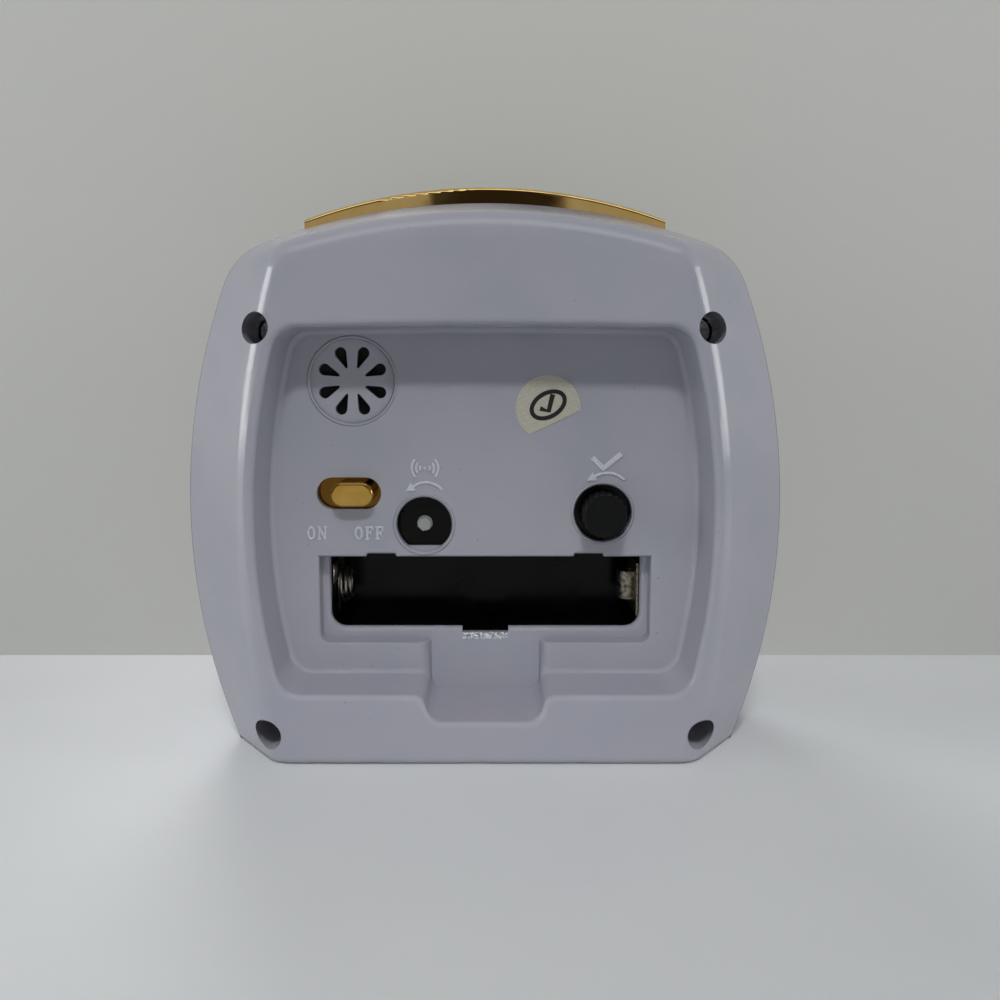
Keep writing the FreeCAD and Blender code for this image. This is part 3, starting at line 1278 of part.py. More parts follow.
def movement_case():
    front = block("tray_block", "move_left", "move_right", "move_front_y", "move_split_y",
                  "move_low", "move_high")
    room = block("tray_room", "move_left + move_wall", "move_right - move_wall", "plate_inside_y",
                 "rear_y", "move_low + move_wall", "move_high - move_wall")
    # Ribs under the middle plate at the left and right walls
    rib_left = block("rib_left", "move_left", "move_left + 2 * move_wall", "move_front_y",
                     "mid_front_y - mid_gap", "move_low", "move_high")
    rib_right = block("rib_right", "move_right - 1.5 * move_wall", "move_right", "move_front_y",
                      "mid_front_y - mid_gap", f"alarm_z + {ALARM_TIP} + move_gap", "move_high")
    lugs = [rod(f"lug_{i}", "lug_radius", "move_split_y", "move_front_y", x, z)
            for i, (x, z) in enumerate(LUGS)]
    bush = rod("bush", "bush_radius", "plate_inside_y", "bush_front_y", *HUB)
    solid = fuse("tray_solid", cut("tray_shell", front, room), rib_left, rib_right, bush, *lugs)
    holes = [rod("bush_bore", "alarm_tube + tube_clearance", "plate_inside_y + 1",
                 "bush_front_y - 1", *HUB)]
    for name, at, radius in (("minute", MINUTE, "arbor_radius"), ("knob", KNOB, "stem_radius"),
                             ("alarm", ALARM, "stem_radius")):
        holes.append(rod(f"tray_{name}_hole", f"{radius} + bearing_clearance", "plate_inside_y + 1",
                         "plate_inside_y - move_wall / 2 - bush_gap", *at))
    for i, (x, z) in enumerate(LUGS):
        holes.append(rod(f"lug_hole_{i}", "move_screw_radius + thread_clearance",
                         "move_split_y + 1", "move_split_y - move_screw_length - 1", x, z))
    node(cut("movement_tray", solid, *holes), "movement_tray")

    plate = block("mid_block", "move_left + move_wall + mid_gap", "move_right - move_wall - mid_gap",
                  "mid_front_y", "mid_rear_y", "move_low + move_wall + mid_gap",
                  "move_high - move_wall - mid_gap")
    holes = [rod("mid_hub_hole", "minute_tube + mid_hub_gap", "rear_y", "mid_front_y - 1", *HUB)]
    for name, at, radius in (("knob", KNOB, "stem_radius"), ("alarm", ALARM, "stem_radius"),
                             ("minute", MINUTE, "arbor_radius"), ("third", THIRD, "arbor_radius"),
                             ("fifth", FIFTH, "arbor_radius"), ("rotor", ROTOR, "arbor_radius")):
        holes.append(rod(f"mid_{name}_hole", f"{radius} + bearing_clearance", "rear_y",
                         "mid_front_y - 1", *at))
    for i, (x, z) in enumerate(LUGS):
        holes.append(rod(f"mid_lug_hole_{i}", "lug_radius + lug_gap", "rear_y", "mid_front_y - 1",
                         x, z))
    node(cut("middle_plate", plate, *holes), "middle_plate")

    lid = block("cover_block", "move_left", "move_right", "move_split_y", "move_rear_y",
                "move_low", "move_high")
    room = block("cover_room", "move_left + move_wall", "move_right - move_wall", "0",
                 "cover_inside_y", "move_low + move_wall", "move_high - move_wall")
    columns = [
        rod("second_column", "post_radius", "move_rear_y", "fifth_wheel_y + post_gap", *HUB),
        rod("third_column", "post_radius", "move_rear_y", "third_wheel_y + post_gap", *THIRD),
        rod("fifth_column", "post_radius", "move_rear_y", "fifth_wheel_y + post_gap", *FIFTH),
        rod("rotor_column", "post_radius", "move_rear_y", "magnet_disc_rear + post_gap", *ROTOR),
    ] + [rod(f"lug_column_{i}", "lug_radius", "move_rear_y", "move_split_y", x, z)
         for i, (x, z) in enumerate(LUGS)]
    solid = fuse("cover_solid", cut("cover_shell", lid, room), *columns)
    holes = [rod(f"cover_{name}_hole", "arbor_radius + bearing_clearance", "cover_inside_y",
                 "0 - seat_gap", *at)
             for name, at in (("second", HUB), ("third", THIRD), ("fifth", FIFTH),
                              ("rotor", ROTOR))]
    holes += [rod("cover_knob_hole", "stem_radius + bearing_clearance", "rear_y", "0", *KNOB),
              rod("cover_alarm_hole", "stem_radius + bearing_clearance", "rear_y", "0", *ALARM)]
    holes.append(block("cover_slide_notch", "move_right - slide_notch", "move_right + 1",
                       "panel_y - panel_wall - slide_plate_thickness - 2 * slide_gap", "rear_y",
                       "switch_z - slide_plate_height / 2 - slide_gap",
                       "switch_z + slide_plate_height / 2 + slide_gap"))
    head = "move_rear_y - move_wall / 2"
    for i, (x, z) in enumerate(LUGS):
        holes.append(rod(f"cover_lug_hole_{i}", "move_screw_radius + thread_clearance", "rear_y",
                         "0", x, z))
        holes.append(rod(f"cover_head_hole_{i}", "move_screw_head + thread_clearance", "rear_y",
                         head, x, z))
    node(cut("movement_cover", solid, *holes), "movement_cover")

    screws = []
    for i, (x, z) in enumerate(LUGS):
        shank = rod(f"move_shank_{i}", "move_screw_radius", head + " + 0.1",
                    "move_split_y - move_screw_length", x, z)
        cap = rod(f"move_head_{i}", "move_screw_head", "move_rear_y - mid_gap", head, x, z)
        screws.append(fuse(f"move_screw_{i}", shank, cap))
    node(group("movement_screws", screws), "movement_screws")

    nut = rod("nut_blank", "nut_radius", "dial_y", "dial_y - nut_thickness", *HUB)
    hole = rod("nut_hole", "bush_radius + bearing_clearance", "dial_y + 1",
               "dial_y - nut_thickness - 1", *HUB)
    node(cut("dial_nut", nut, hole), "dial_nut")


LUGS = [("lug_x", "lug_z"), ("lug_x_right", "lug_z")]


def motor_pieces():
    """The stator frame round the rotor, the coil on its top bar, and the timing circuit."""
    front, coil_z = "stator_front_y", f"({ROTOR[1]}) + coil_rise"
    left_x, right_x = f"({ROTOR[0]}) - stator_left_reach", f"({ROTOR[0]}) + stator_right_reach"
    low, high = f"({ROTOR[1]}) - stator_bar / 2", f"({ROTOR[1]}) + stator_bar / 2"
    top_low, top_high = f"{coil_z} - stator_bar / 2", f"{coil_z} + stator_bar / 2"
    ring = rod("stator_ring", "magnet_disc_radius + rotor_gap + stator_bar / 2", "stator_y", front,
               *ROTOR)
    top = block("stator_top", left_x, right_x, front, "stator_y", top_low, top_high)
    bar = block("stator_low", left_x, right_x, front, "stator_y", low, high)
    left = block("stator_side", left_x, f"{left_x} + stator_bar", front, "stator_y", low, top_high)
    right = block("stator_side_right", f"{right_x} - stator_bar", right_x, front, "stator_y", low,
                  top_high)
    gap = rod("stator_bore", "magnet_disc_radius + rotor_gap", "stator_y + 1", front + " - 1",
              *ROTOR)
    node(cut("stator", fuse("stator_blank", ring, top, bar, left, right), gap), "stator")

    coil = doc.addObject("Part::Cylinder", "coil_bar")
    bind(coil, "Radius", "coil_radius")
    bind(coil, "Height", "coil_length")
    coil.Placement = Placement(Vector(0, 0, 0), Rotation(Vector(0, 1, 0), 90))
    bind(coil, "Placement.Base.x", f"{left_x} + coil_side")
    bind(coil, "Placement.Base.y", "stator_y - stator_thickness / 2")
    bind(coil, "Placement.Base.z", coil_z)
    core = block("coil_core", f"{left_x} + coil_side - 1", f"{left_x} + coil_side + coil_length + 1",
                 front + " - coil_gap", "stator_y + coil_gap", f"{top_low} - coil_gap",
                 f"{top_high} + coil_gap")
    node(cut("coil", coil, core), "coil")

    rear = "cover_inside_y - seat_gap / 3"
    board_front = rear + " - board_thickness"
    board = block("circuit_blank", "circuit_left", "circuit_left + circuit_width", board_front,
                  rear, "circuit_low", "circuit_high")
    node(board, "circuit_board")
    can = post("quartz_crystal", "crystal_radius", "circuit_high - crystal_length - crystal_inset",
               "circuit_high - crystal_inset", "circuit_x",
               board_front + " - crystal_radius - crystal_gap")
    node(can, "quartz_crystal")
    chip = rod("circuit_chip", "circuit_chip_radius", board_front,
               board_front + " - circuit_chip_height", "circuit_x",
               "circuit_low + circuit_chip_rise")
    node(chip, "circuit_chip")


# Hands: each is a tapered blade with a round eye, pressed on its own tube

def hand(name, length, tail, rear, hole, width, tip_width):
    body = doc.addObject("PartDesign::Body", name)
    disc(body, name + "_eye", "hand_hub" if tail == "0" else "second_eye", rear,
         f"{rear} - hand_thickness")
    corners = [(f"-({width}) / 2", f"-({tail})"), (f"({width}) / 2", f"-({tail})"),
               (f"({tip_width}) / 2", length), (f"-({tip_width}) / 2", length)]
    pad(body, name + "_blade", quad(body, name + "_line", rear, corners), "hand_thickness")
    bore(body, name + "_eye_hole", hole, f"{rear} + 1", f"{rear} - hand_thickness - 1")
    return body


HANDS = [
    ("alarm_hand", "bezel_inner - alarm_hand_short", "0", "alarm_hand_y", "alarm_tube + hand_fit",
     "hand_width / 2", "hand_width / 6", 150.0),
    ("hour_hand", "bezel_inner - hour_hand_short", "0", "hour_hand_y", "hour_tube + hand_fit",
     "hand_width", "hand_width / 3", 55.0),
    ("minute_hand", "bezel_inner - minute_hand_short", "0", "minute_hand_y",
     "minute_tube + hand_fit", "hand_width * 0.8", "hand_width / 4", -60.0),
    ("second_hand", "bezel_inner - second_hand_short", "second_tail", "second_hand_y",
     "arbor_radius + hand_fit", "hand_width / 4", "hand_width / 7", 130.0),
]


def hands():
    for name, length, tail, rear, hole, width, tip, turn in HANDS:
        body = hand(name, length, tail, rear, hole, width, tip)
        place(body, "0", "0", "hub_z", Rotation(Vector(0, 1, 0), turn))
        node(body, name)


# Switch, speaker and sound board

def switch_pieces():
    plate_rear = "panel_y - panel_wall - slide_gap"
    x = "switch_x + switch_rest"
    plate_front = f"{plate_rear} - slide_plate_thickness"
    plate = block("slide_plate", f"{x} - slide_plate_half", f"{x} + slide_plate_half",
                  plate_front, plate_rear, "switch_z - slide_plate_height / 2",
                  "switch_z + slide_plate_height / 2")
    button = doc.addObject("PartDesign::Body", "slide_button")
    button_end = "panel_y + button_proud"
    bar = pad(button, "slide_button_pad",
              obround(button, "slide_button_line", button_end, "button_half", "button_radius"),
              f"{button_end} - ({plate_rear}) + 0.1")
    end = value(button_end)
    round_edges(button, "slide_button_edge", bar, lambda e: on_plane(e, end), "button_rounding")
    place(button, x, "0", "switch_z")
    tongue = block("slide_tongue", f"{x} - tongue_half", f"{x} + tongue_half",
                   f"{plate_front} - tongue_depth", plate_front, "switch_z - tongue_half",
                   "switch_z + tongue_half")
    node(fuse("switch_slider", plate, button, tongue), "switch_slider")

    rear = f"{plate_front} - slide_gap"
    can = block("switch_can", "switch_x - switch_body_half", "switch_x + switch_body_half",
                f"{rear} - switch_body_depth", rear, "switch_z - switch_body_height / 2",
                "switch_z + switch_body_height / 2")
    way = "switch_travel_half + tongue_half + slide_gap"
    slot = block("switch_can_slot", f"switch_x - ({way})", f"switch_x + ({way})",
                 f"{plate_front} - tongue_depth - slide_gap", "rear_y",
                 "switch_z - tongue_half - slide_gap", "switch_z + tongue_half + slide_gap")
    node(cut("slide_switch_body", can, slot), "slide_switch_body")

    board_rear = f"{rear} - switch_body_depth"
    board = block("sound_board", "board_left", "board_left + board_width",
                  f"{board_rear} - board_thickness", board_rear, "board_low",
                  "board_low + board_height")
    node(board, "sound_board")
    blob = rod("sound_chip", "chip_radius", f"{board_rear} - board_thickness",
               f"{board_rear} - board_thickness - chip_height", "switch_x", "switch_z",
               "chip_radius * 0.6")
    node(blob, "sound_chip")

    back = "panel_y - panel_wall - seat_gap / 3"
    basket = rod("basket_outer", "speaker_radius", back, f"{back} - speaker_depth", "speaker_x",
                 "speaker_z")
    dish = rod("basket_dish", "speaker_radius - speaker_rim", f"{back} + 0.01",
               f"{back} - speaker_depth + speaker_rim / 2", "speaker_x", "speaker_z",
               "magnet_radius")
    node(cut("speaker_basket", basket, dish), "speaker_basket")
    node(rod("speaker_magnet", "magnet_radius", f"{back} - speaker_depth",
             f"{back} - speaker_depth - magnet_depth", "speaker_x", "speaker_z"),
         "speaker_magnet")
    rim = "speaker_radius - speaker_rim - 2 * seat_gap"
    cone = rod("cone_outer", rim, f"{back} - seat_gap", f"{back} - cone_drop", "speaker_x",
               "speaker_z", "magnet_radius * 0.8")
    inner = rod("cone_inner", f"{rim} - cone_wall", f"{back} - seat_gap + 0.01",
                f"{back} - cone_drop + cone_wall", "speaker_x", "speaker_z",
                "magnet_radius * 0.8 - cone_wall")
    node(cut("speaker_cone", cone, inner), "speaker_cone")


def sticker():
    """A round paper label on the panel with one edge cut off straight."""
    face = rod("sticker_disc", "sticker_radius", "panel_y + sticker_thickness", "panel_y",
               "sticker_x", "sticker_z")
    edge = doc.addObject("Part::Box", "sticker_edge")
    bind(edge, "Length", "2 * sticker_radius")
    bind(edge, "Width", "2")
    bind(edge, "Height", "3 * sticker_radius")
    turn = value("sticker_turn")
    away = Rotation(Vector(0, 1, 0), turn)
    edge.Placement = Placement(Vector(0, 0, 0), away)
    reach = value("sticker_radius - sticker_chord")
    low = away.multVec(Vector(reach, 0, -1.5 * value("sticker_radius")))
    edge.Placement = Placement(Vector(value("sticker_x") + low.x, value("panel_y") - 0.5,
                                      value("sticker_z") + low.z), away)
    node(cut("inspection_sticker", face, edge), "inspection_sticker")


# Snooze key: an arched bar through the top of the front case, on two springs

def snooze_key():
    low = "key_low"
    body = doc.addObject("PartDesign::Body", "key_bar")
    line = sketch(body, "key_line", "key_rear_y")
    half, top, radius, foot = (value(name) for name in ("key_half_width", "key_top", "key_radius",
                                                        low))
    mid = Vector(0, top - radius, 0)
    end = Vector(half, mid.y + math.sqrt(radius ** 2 - half ** 2), 0)
    base = Vector(half, foot, 0)
    line.addGeometry([
        Part.LineSegment(mirrored(base), base),
        Part.LineSegment(base, end),
        arc(mid, radius, end, mirrored(end)),
        Part.LineSegment(mirrored(end), mirrored(base)),
    ], False)
    line.addConstraint([Sketcher.Constraint("Coincident", i, 2, (i + 1) % 4, 1) for i in range(4)]
                       + [Sketcher.Constraint("Horizontal", 0),
                          Sketcher.Constraint("PointOnObject", 2, 3, -2),
                          Sketcher.Constraint("Vertical", 1),
                          Sketcher.Constraint("Vertical", 3)])
    measure(line, "radius", ("Radius", 2), "key_radius")
    measure(line, "arch", ("DistanceY", -1, 1, 2, 3), "key_top - key_radius")
    measure(line, "half", ("DistanceX", -1, 1, 1, 1), "key_half_width")
    measure(line, "foot", ("DistanceY", -1, 1, 1, 1), low)
    bar = pad(body, "key_pad", line, "key_rear_y - key_front_y")
    crown = value("key_top - key_radius")
    round_edges(body, "key_edges", bar,
                lambda e: e.BoundBox.ZMin > foot + 4 and e.CenterOfMass.z > crown, "key_rounding")

    # The bar is hollow underneath, with end walls, a middle rib and lips that hold it in
    room = doc.addObject("Part::Cylinder", "key_room_arch")
    bind(room, "Radius", "key_radius - key_wall - (key_top - case_height)")
    bind(room, "Height", "key_rear_y - key_front_y - 2 * key_wall")
    place(room, "0", "key_front_y + key_wall", "key_top - key_radius", ALONG_Y)
    span = block("key_room_span", "-key_half_width + key_wall", "key_half_width - key_wall",
                 "key_front_y", "key_rear_y", low + " - 1", "key_top")
    hollow = common("key_room", room, span)
    pushers = [post("pusher", "pusher_half", "push_z", "key_top - 5", "0", "key_axis_y")]
    for i, side in enumerate(("", "-")):
        pushers.append(post(f"spring_seat_{i}", "spring_radius + spring_seat_wall", "spring_top",
                            "key_top - 8", f"{side}spring_x", "key_axis_y"))
    lips = []
    for i, side in enumerate(("", "-")):
        edge = f"{side}(key_half_width + key_lip)" if side else "key_half_width - key_wall"
        other = "-key_half_width + key_wall" if side else "key_half_width + key_lip"
        lips.append(block(f"key_lip_{i}", edge, other, "key_front_y + 2 * key_wall",
                          "key_rear_y - 2 * key_wall", "lip_top - key_lip_height", "lip_top"))
    relief = rod("key_relief", "bezel_inner + skirt_wall + key_travel + seat_gap", "dial_y + seat_gap",
                 "key_front_y - 1", *HUB)
    shell = cut("key_shell", body, hollow, relief)
    node(fuse("snooze_key", shell, *pushers, *lips), "snooze_key")

    shelf = "shelf_top"
    can = block("snooze_can", "-snooze_switch_half", "snooze_switch_half",
                "key_axis_y - snooze_switch_half", "key_axis_y + snooze_switch_half", shelf,
                f"{shelf} + snooze_switch_height")
    plunger = post("snooze_plunger", "plunger_radius", f"{shelf} + snooze_switch_height - 0.5",
                   f"{shelf} + snooze_switch_height + plunger_height", "0", "key_axis_y")
    node(fuse("snooze_switch", can, plunger), "snooze_switch")
    for name, side in (("key_spring_right", ""), ("key_spring_left", "-")):
        tube = post(name + "_tube", "spring_radius", shelf, "spring_top - crystal_gap",
                    f"{side}spring_x", "key_axis_y")
        hole = post(name + "_hole", "spring_radius - spring_wire", shelf + " - 1", "key_top",
                    f"{side}spring_x", "key_axis_y")
        node(cut(name, tube, hole), name)


front_case()
rear_case()
front_pieces()
case_screws()
battery_pieces()
motion_work()
time_knob()
going_train()
movement_case()
motor_pieces()
hands()
switch_pieces()
sticker()
snooze_key()
doc.recompute()

# Every object must be sound before anything is written
for item in doc.Objects:
    if "Invalid" in item.State or "Error" in item.State:
        raise RuntimeError(f"{item.Label}: {item.State}")
for item in nodes:
    if item.Shape.isNull() or not item.Shape.isValid() or not item.Shape.Solids:
        raise RuntimeError(f"{item.Label}: no valid solid")

os.makedirs("parts", exist_ok=True)
for item in nodes:
    item.Shape.exportStep(f"parts/{item.Label}.step")
print(f"{len(nodes)} pieces written")
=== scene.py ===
import json
import math

import bmesh
import bpy
from mathutils import Matrix, Vector, noise


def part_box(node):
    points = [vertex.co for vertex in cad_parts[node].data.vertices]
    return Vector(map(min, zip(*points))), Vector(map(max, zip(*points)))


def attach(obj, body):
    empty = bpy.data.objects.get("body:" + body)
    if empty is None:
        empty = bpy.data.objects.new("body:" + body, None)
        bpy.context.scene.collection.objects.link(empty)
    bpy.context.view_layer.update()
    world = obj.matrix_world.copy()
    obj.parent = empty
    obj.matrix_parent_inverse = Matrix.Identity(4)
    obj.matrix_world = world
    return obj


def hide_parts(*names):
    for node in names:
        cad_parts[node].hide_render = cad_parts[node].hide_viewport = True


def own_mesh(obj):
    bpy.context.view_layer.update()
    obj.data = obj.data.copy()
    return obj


# Alarm clock in lilac ABS, seen from its back: finishes, fine parts, light and camera

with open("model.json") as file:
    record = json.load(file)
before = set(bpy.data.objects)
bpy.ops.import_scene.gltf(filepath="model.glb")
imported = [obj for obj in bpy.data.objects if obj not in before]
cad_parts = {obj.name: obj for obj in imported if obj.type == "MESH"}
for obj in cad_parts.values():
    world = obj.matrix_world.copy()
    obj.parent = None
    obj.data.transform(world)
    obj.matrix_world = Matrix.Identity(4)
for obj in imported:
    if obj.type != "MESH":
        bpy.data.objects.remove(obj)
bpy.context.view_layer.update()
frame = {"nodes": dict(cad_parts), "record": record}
mm = 0.001
print("frame loaded")


# Colour and node helpers

def linear(hexText):
    # sRGB hex text to a linear colour
    parts = [int(hexText[i:i + 2], 16) / 255 for i in (1, 3, 5)]
    steps = [p / 12.92 if p <= 0.04045 else ((p + 0.055) / 1.055) ** 2.4 for p in parts]
    return (*steps, 1.0)


def addNode(tree, kind, settings=None, values=None, links=None, stops=None):
    # one node with its settings, its own values, the sockets that feed it and a ramp's colour stops
    node = tree.nodes.new(kind)
    for key, item in (settings or {}).items():
        setattr(node, key, item)
    for key, item in (values or {}).items():
        node.inputs[key].default_value = item
    for key, item in (links or {}).items():
        tree.links.new(item, node.inputs[key])
    if stops:
        for mark, (at, hexText) in zip(node.color_ramp.elements, stops):
            mark.position = at
            mark.color = linear(hexText)
    return node


def newMaterial(name, hexText, roughness, metallic=0.0, extra=None):
    material = bpy.data.materials.new(name)
    material.use_nodes = True
    shader = material.node_tree.nodes["Principled BSDF"]
    shader.inputs["Base Color"].default_value = linear(hexText)
    shader.inputs["Roughness"].default_value = roughness
    shader.inputs["Metallic"].default_value = metallic
    for key, item in (extra or {}).items():
        shader.inputs[key].default_value = item
    return material, material.node_tree, shader


def grainOf(tree, sizeMm, detail, stretch=(1, 1, 1)):
    # noise whose lumps are sizeMm across, on the object's own coordinates
    place = addNode(tree, "ShaderNodeTexCoord")
    scaled = addNode(tree, "ShaderNodeMapping", values={"Scale": stretch},
                     links={"Vector": place.outputs["Object"]})
    lumps = addNode(tree, "ShaderNodeTexNoise", values={"Scale": 1000 / sizeMm, "Detail": detail},
                    links={"Vector": scaled.outputs["Vector"]})
    return lumps.outputs["Fac"]


grainSpan = {"From Min": 0.3, "From Max": 0.7}  # most of a noise's values lie between these


def layGrain(tree, shader, grain, tones=None, rough=None, highMm=None, strength=1.0):
    # puts a grain on a finish: as two colours, as a range of roughness and as relief
    if tones:
        tone = addNode(tree, "ShaderNodeValToRGB", links={"Fac": grain}, stops=tones)
        tree.links.new(tone.outputs["Color"], shader.inputs["Base Color"])
    if rough:
        dulled = addNode(tree, "ShaderNodeMapRange", links={"Value": grain},
                         values={**grainSpan, "To Min": rough[0], "To Max": rough[1]})
        tree.links.new(dulled.outputs["Result"], shader.inputs["Roughness"])
    if highMm:
        relief = addNode(tree, "ShaderNodeBump", links={"Height": grain},
                         values={"Strength": strength, "Distance": highMm * mm})
        tree.links.new(relief.outputs["Normal"], shader.inputs["Normal"])


# Finishes

absIor = 1.54


def lilacAbs():
    # gloss ABS, injection moulded in a polished tool: sharp but slightly rippled reflections,
    # handling haze, a few dust specks, and painted shade in a fine dark line where the two halves meet
    look = {"base": "#9B9DA8", "warm": "#A09FA9", "speck": "#56545C", "seamShade": "#4C4D55",
            "rough": (0.15, 0.26), "hazeMm": 14, "peelMm": 1.1, "peelHighMm": 0.006,
            "speckMm": 0.6, "seamAtMm": 9, "seamHalfMm": 0.12, "seamReachMm": (50.5, 92)}
    material, tree, shader = newMaterial("lilacAbs", look["base"], 0.22, extra={"IOR": absIor})
    haze = grainOf(tree, look["hazeMm"], 5)
    tone = addNode(tree, "ShaderNodeValToRGB", links={"Fac": haze},
                   stops=((0.35, look["base"]), (0.65, look["warm"]))).outputs["Color"]
    dots = addNode(tree, "ShaderNodeValToRGB", links={"Fac": grainOf(tree, look["speckMm"], 1)},
                   stops=((0.805, "#000000"), (0.83, "#FFFFFF"))).outputs["Color"]
    # dust specks, then the painted shade of the joint between the halves
    for mask, over in ((dots, look["speck"]), (seamMask(tree, look), look["seamShade"])):
        tone = addNode(tree, "ShaderNodeMix", {"data_type": "RGBA"}, {"B": linear(over)},
                       {"Factor": mask, "A": tone}).outputs["Result"]
    tree.links.new(tone, shader.inputs["Base Color"])
    layGrain(tree, shader, haze, rough=look["rough"])
    layGrain(tree, shader, grainOf(tree, look["peelMm"], 2), highMm=look["peelHighMm"], strength=0.3)
    return material


def seamMask(tree, look):
    # 1 in a thin line at the plane where the halves meet, on the outside of the case only, where shade is
    # painted
    place = addNode(tree, "ShaderNodeTexCoord")
    axes = addNode(tree, "ShaderNodeSeparateXYZ", links={"Vector": place.outputs["Object"]})
    offset = addNode(tree, "ShaderNodeMath", {"operation": "SUBTRACT"}, {1: look["seamAtMm"] * mm},
                     {0: axes.outputs["Y"]})
    away = addNode(tree, "ShaderNodeMath", {"operation": "ABSOLUTE"}, links={0: offset.outputs[0]})
    line = addNode(tree, "ShaderNodeMath", {"operation": "LESS_THAN"}, {1: look["seamHalfMm"] * mm},
                   {0: away.outputs[0]})
    aside = addNode(tree, "ShaderNodeMath", {"operation": "ABSOLUTE"}, links={0: axes.outputs["X"]})
    wide, tall = (addNode(tree, "ShaderNodeMath", {"operation": "GREATER_THAN"}, {1: reach * mm},
                          {0: source}).outputs[0]
                  for reach, source in zip(look["seamReachMm"], (aside.outputs[0], axes.outputs["Z"])))
    outside = addNode(tree, "ShaderNodeMath", {"operation": "MAXIMUM"}, links={0: wide, 1: tall})
    both = addNode(tree, "ShaderNodeMath", {"operation": "MULTIPLY"},
                   links={0: line.outputs[0], 1: outside.outputs[0]})
    return both.outputs[0]


def rubbedAbs():
    # the same ABS where it stands proud, painted paler as a highlight on the raised marks, and duller
    # painted highlight: the raised marks get a pale base colour
    look = {"base": "#C8CAD2", "grainDark": "#B5B7C0", "rough": (0.42, 0.6), "grainMm": 0.35, "highMm": 0.02}
    material, tree, shader = newMaterial("rubbedAbs", look["base"], 0.5, extra={"IOR": absIor})
    layGrain(tree, shader, grainOf(tree, look["grainMm"], 4), ((0.35, look["grainDark"]), (0.6, look["base"])),
             look["rough"], look["highMm"], 0.5)
    return material


def tornAbs():
    # ABS torn off a clip: stress-whitened, with a coarse bright grain
    look = {"base": "#EDEFF5", "deep": "#8A8B95", "grainMm": 0.5, "highMm": 0.12}
    material, tree, shader = newMaterial("tornAbs", look["base"], 0.35, extra={"IOR": absIor})
    layGrain(tree, shader, grainOf(tree, look["grainMm"], 6), ((0.4, look["deep"]), (0.6, look["base"])),
             highMm=look["highMm"])
    return material


def goldPlate(name="goldPlate", base="#E6C580", deep="#DFBB72", shadeBelowMm=None):
    # vacuum-plated gold on moulded ABS: a clean mirror with a slight ripple and faint rub marks;
    # where a y is given, the plating below it is painted dark brown, a painted shade on the low plate deep
    # in its slot
    look = {"paintedShade": "#6E4C1E", "rough": (0.03, 0.08), "rubMm": 4, "rippleMm": 3.2, "rippleHighMm": 0.012}
    material, tree, shader = newMaterial(name, base, 0.06, 1.0)
    rub = grainOf(tree, look["rubMm"], 4)
    layGrain(tree, shader, rub, ((0.3, base), (0.7, deep)), look["rough"])
    if shadeBelowMm is not None:
        tone = shader.inputs["Base Color"].links[0].from_socket
        place = addNode(tree, "ShaderNodeTexCoord")
        axes = addNode(tree, "ShaderNodeSeparateXYZ", links={"Vector": place.outputs["Object"]})
        below = addNode(tree, "ShaderNodeMath", {"operation": "LESS_THAN"}, {1: shadeBelowMm * mm},
                        {0: axes.outputs["Y"]})
        # painted shade: below the given y the gold is coloured dark brown
        mixed = addNode(tree, "ShaderNodeMix", {"data_type": "RGBA"}, {"B": linear(look["paintedShade"])},
                        {"Factor": below.outputs[0], "A": tone})
        tree.links.new(mixed.outputs["Result"], shader.inputs["Base Color"])
    layGrain(tree, shader, grainOf(tree, look["rippleMm"], 1), highMm=look["rippleHighMm"], strength=0.15)
    return material


def hammeredNickel():
    # nickel-plated spring leaf, dimpled by its press tool and dulled brown by handling
    look = {"base": "#A9A293", "dull": "#6E675A", "rough": (0.25, 0.45), "dimpleMm": 0.8, "highMm": 0.12}
    material, tree, shader = newMaterial("hammeredNickel", look["base"], 0.3, 1.0)
    layGrain(tree, shader, grainOf(tree, look["dimpleMm"], 2), ((0.4, look["dull"]), (0.6, look["base"])),
             look["rough"], look["highMm"], 0.9)
    return material


def speckledPlastic(name, base, roughness, grainMm, highMm, paler, shine=0.5):
    # moulded plastic with a fine texture: dull, with slightly paler rubbed grains
    material, tree, shader = newMaterial(name, base, roughness,
                                         extra={"IOR": 1.5, "Specular IOR Level": shine})
    layGrain(tree, shader, grainOf(tree, grainMm, 4), ((0.45, base), (0.78, paler)),
             (roughness - 0.08, roughness + 0.1), highMm, 0.6)
    return material


def brushedMetal(name, base, roughness, stretch, grainMm=0.6):
    # rolled or drawn metal: fine lines along the rolling, that blur its reflections one way
    material, tree, shader = newMaterial(name, base, roughness, 1.0)
    layGrain(tree, shader, grainOf(tree, grainMm, 4, stretch), None,
             (roughness * 0.6, roughness * 1.5), 0.004, 0.4)
    return material


def labelPaper():
    # uncoated label paper: matt off-white with fibres and faint yellowing
    look = {"base": "#B5B1A4", "yellowed": "#ABA697", "clean": "#BDBAAE", "fibreMm": 0.5, "highMm": 0.01}
    material, tree, shader = newMaterial("labelPaper", look["base"], 0.75)
    layGrain(tree, shader, grainOf(tree, look["fibreMm"], 6, (1, 1, 3)),
             ((0.35, look["yellowed"]), (0.7, look["clean"])), None, look["highMm"], 0.5)
    return material


def clearAcrylic():
    # clear moulded acrylic: sees through, with a clean front reflection and faint smears
    look = {"base": "#FFFFFF", "smearMm": 20, "rough": (0.01, 0.05)}
    material, tree, shader = newMaterial("clearAcrylic", look["base"], 0.02,
                                         extra={"Transmission Weight": 1.0, "IOR": 1.49})
    layGrain(tree, shader, grainOf(tree, look["smearMm"], 4), rough=look["rough"])
    return material


def dialCard():
    # printed card: warm white and a little silky, with faint fibres
    look = {"base": "#E9E6DF", "deep": "#E4E1D9", "pale": "#EEECE6", "fibreMm": 0.9, "highMm": 0.004}
    material, tree, shader = newMaterial("dialCard", look["base"], 0.5)
    layGrain(tree, shader, grainOf(tree, look["fibreMm"], 5), ((0.3, look["deep"]), (0.7, look["pale"])),
             None, look["highMm"], 0.4)
    return material


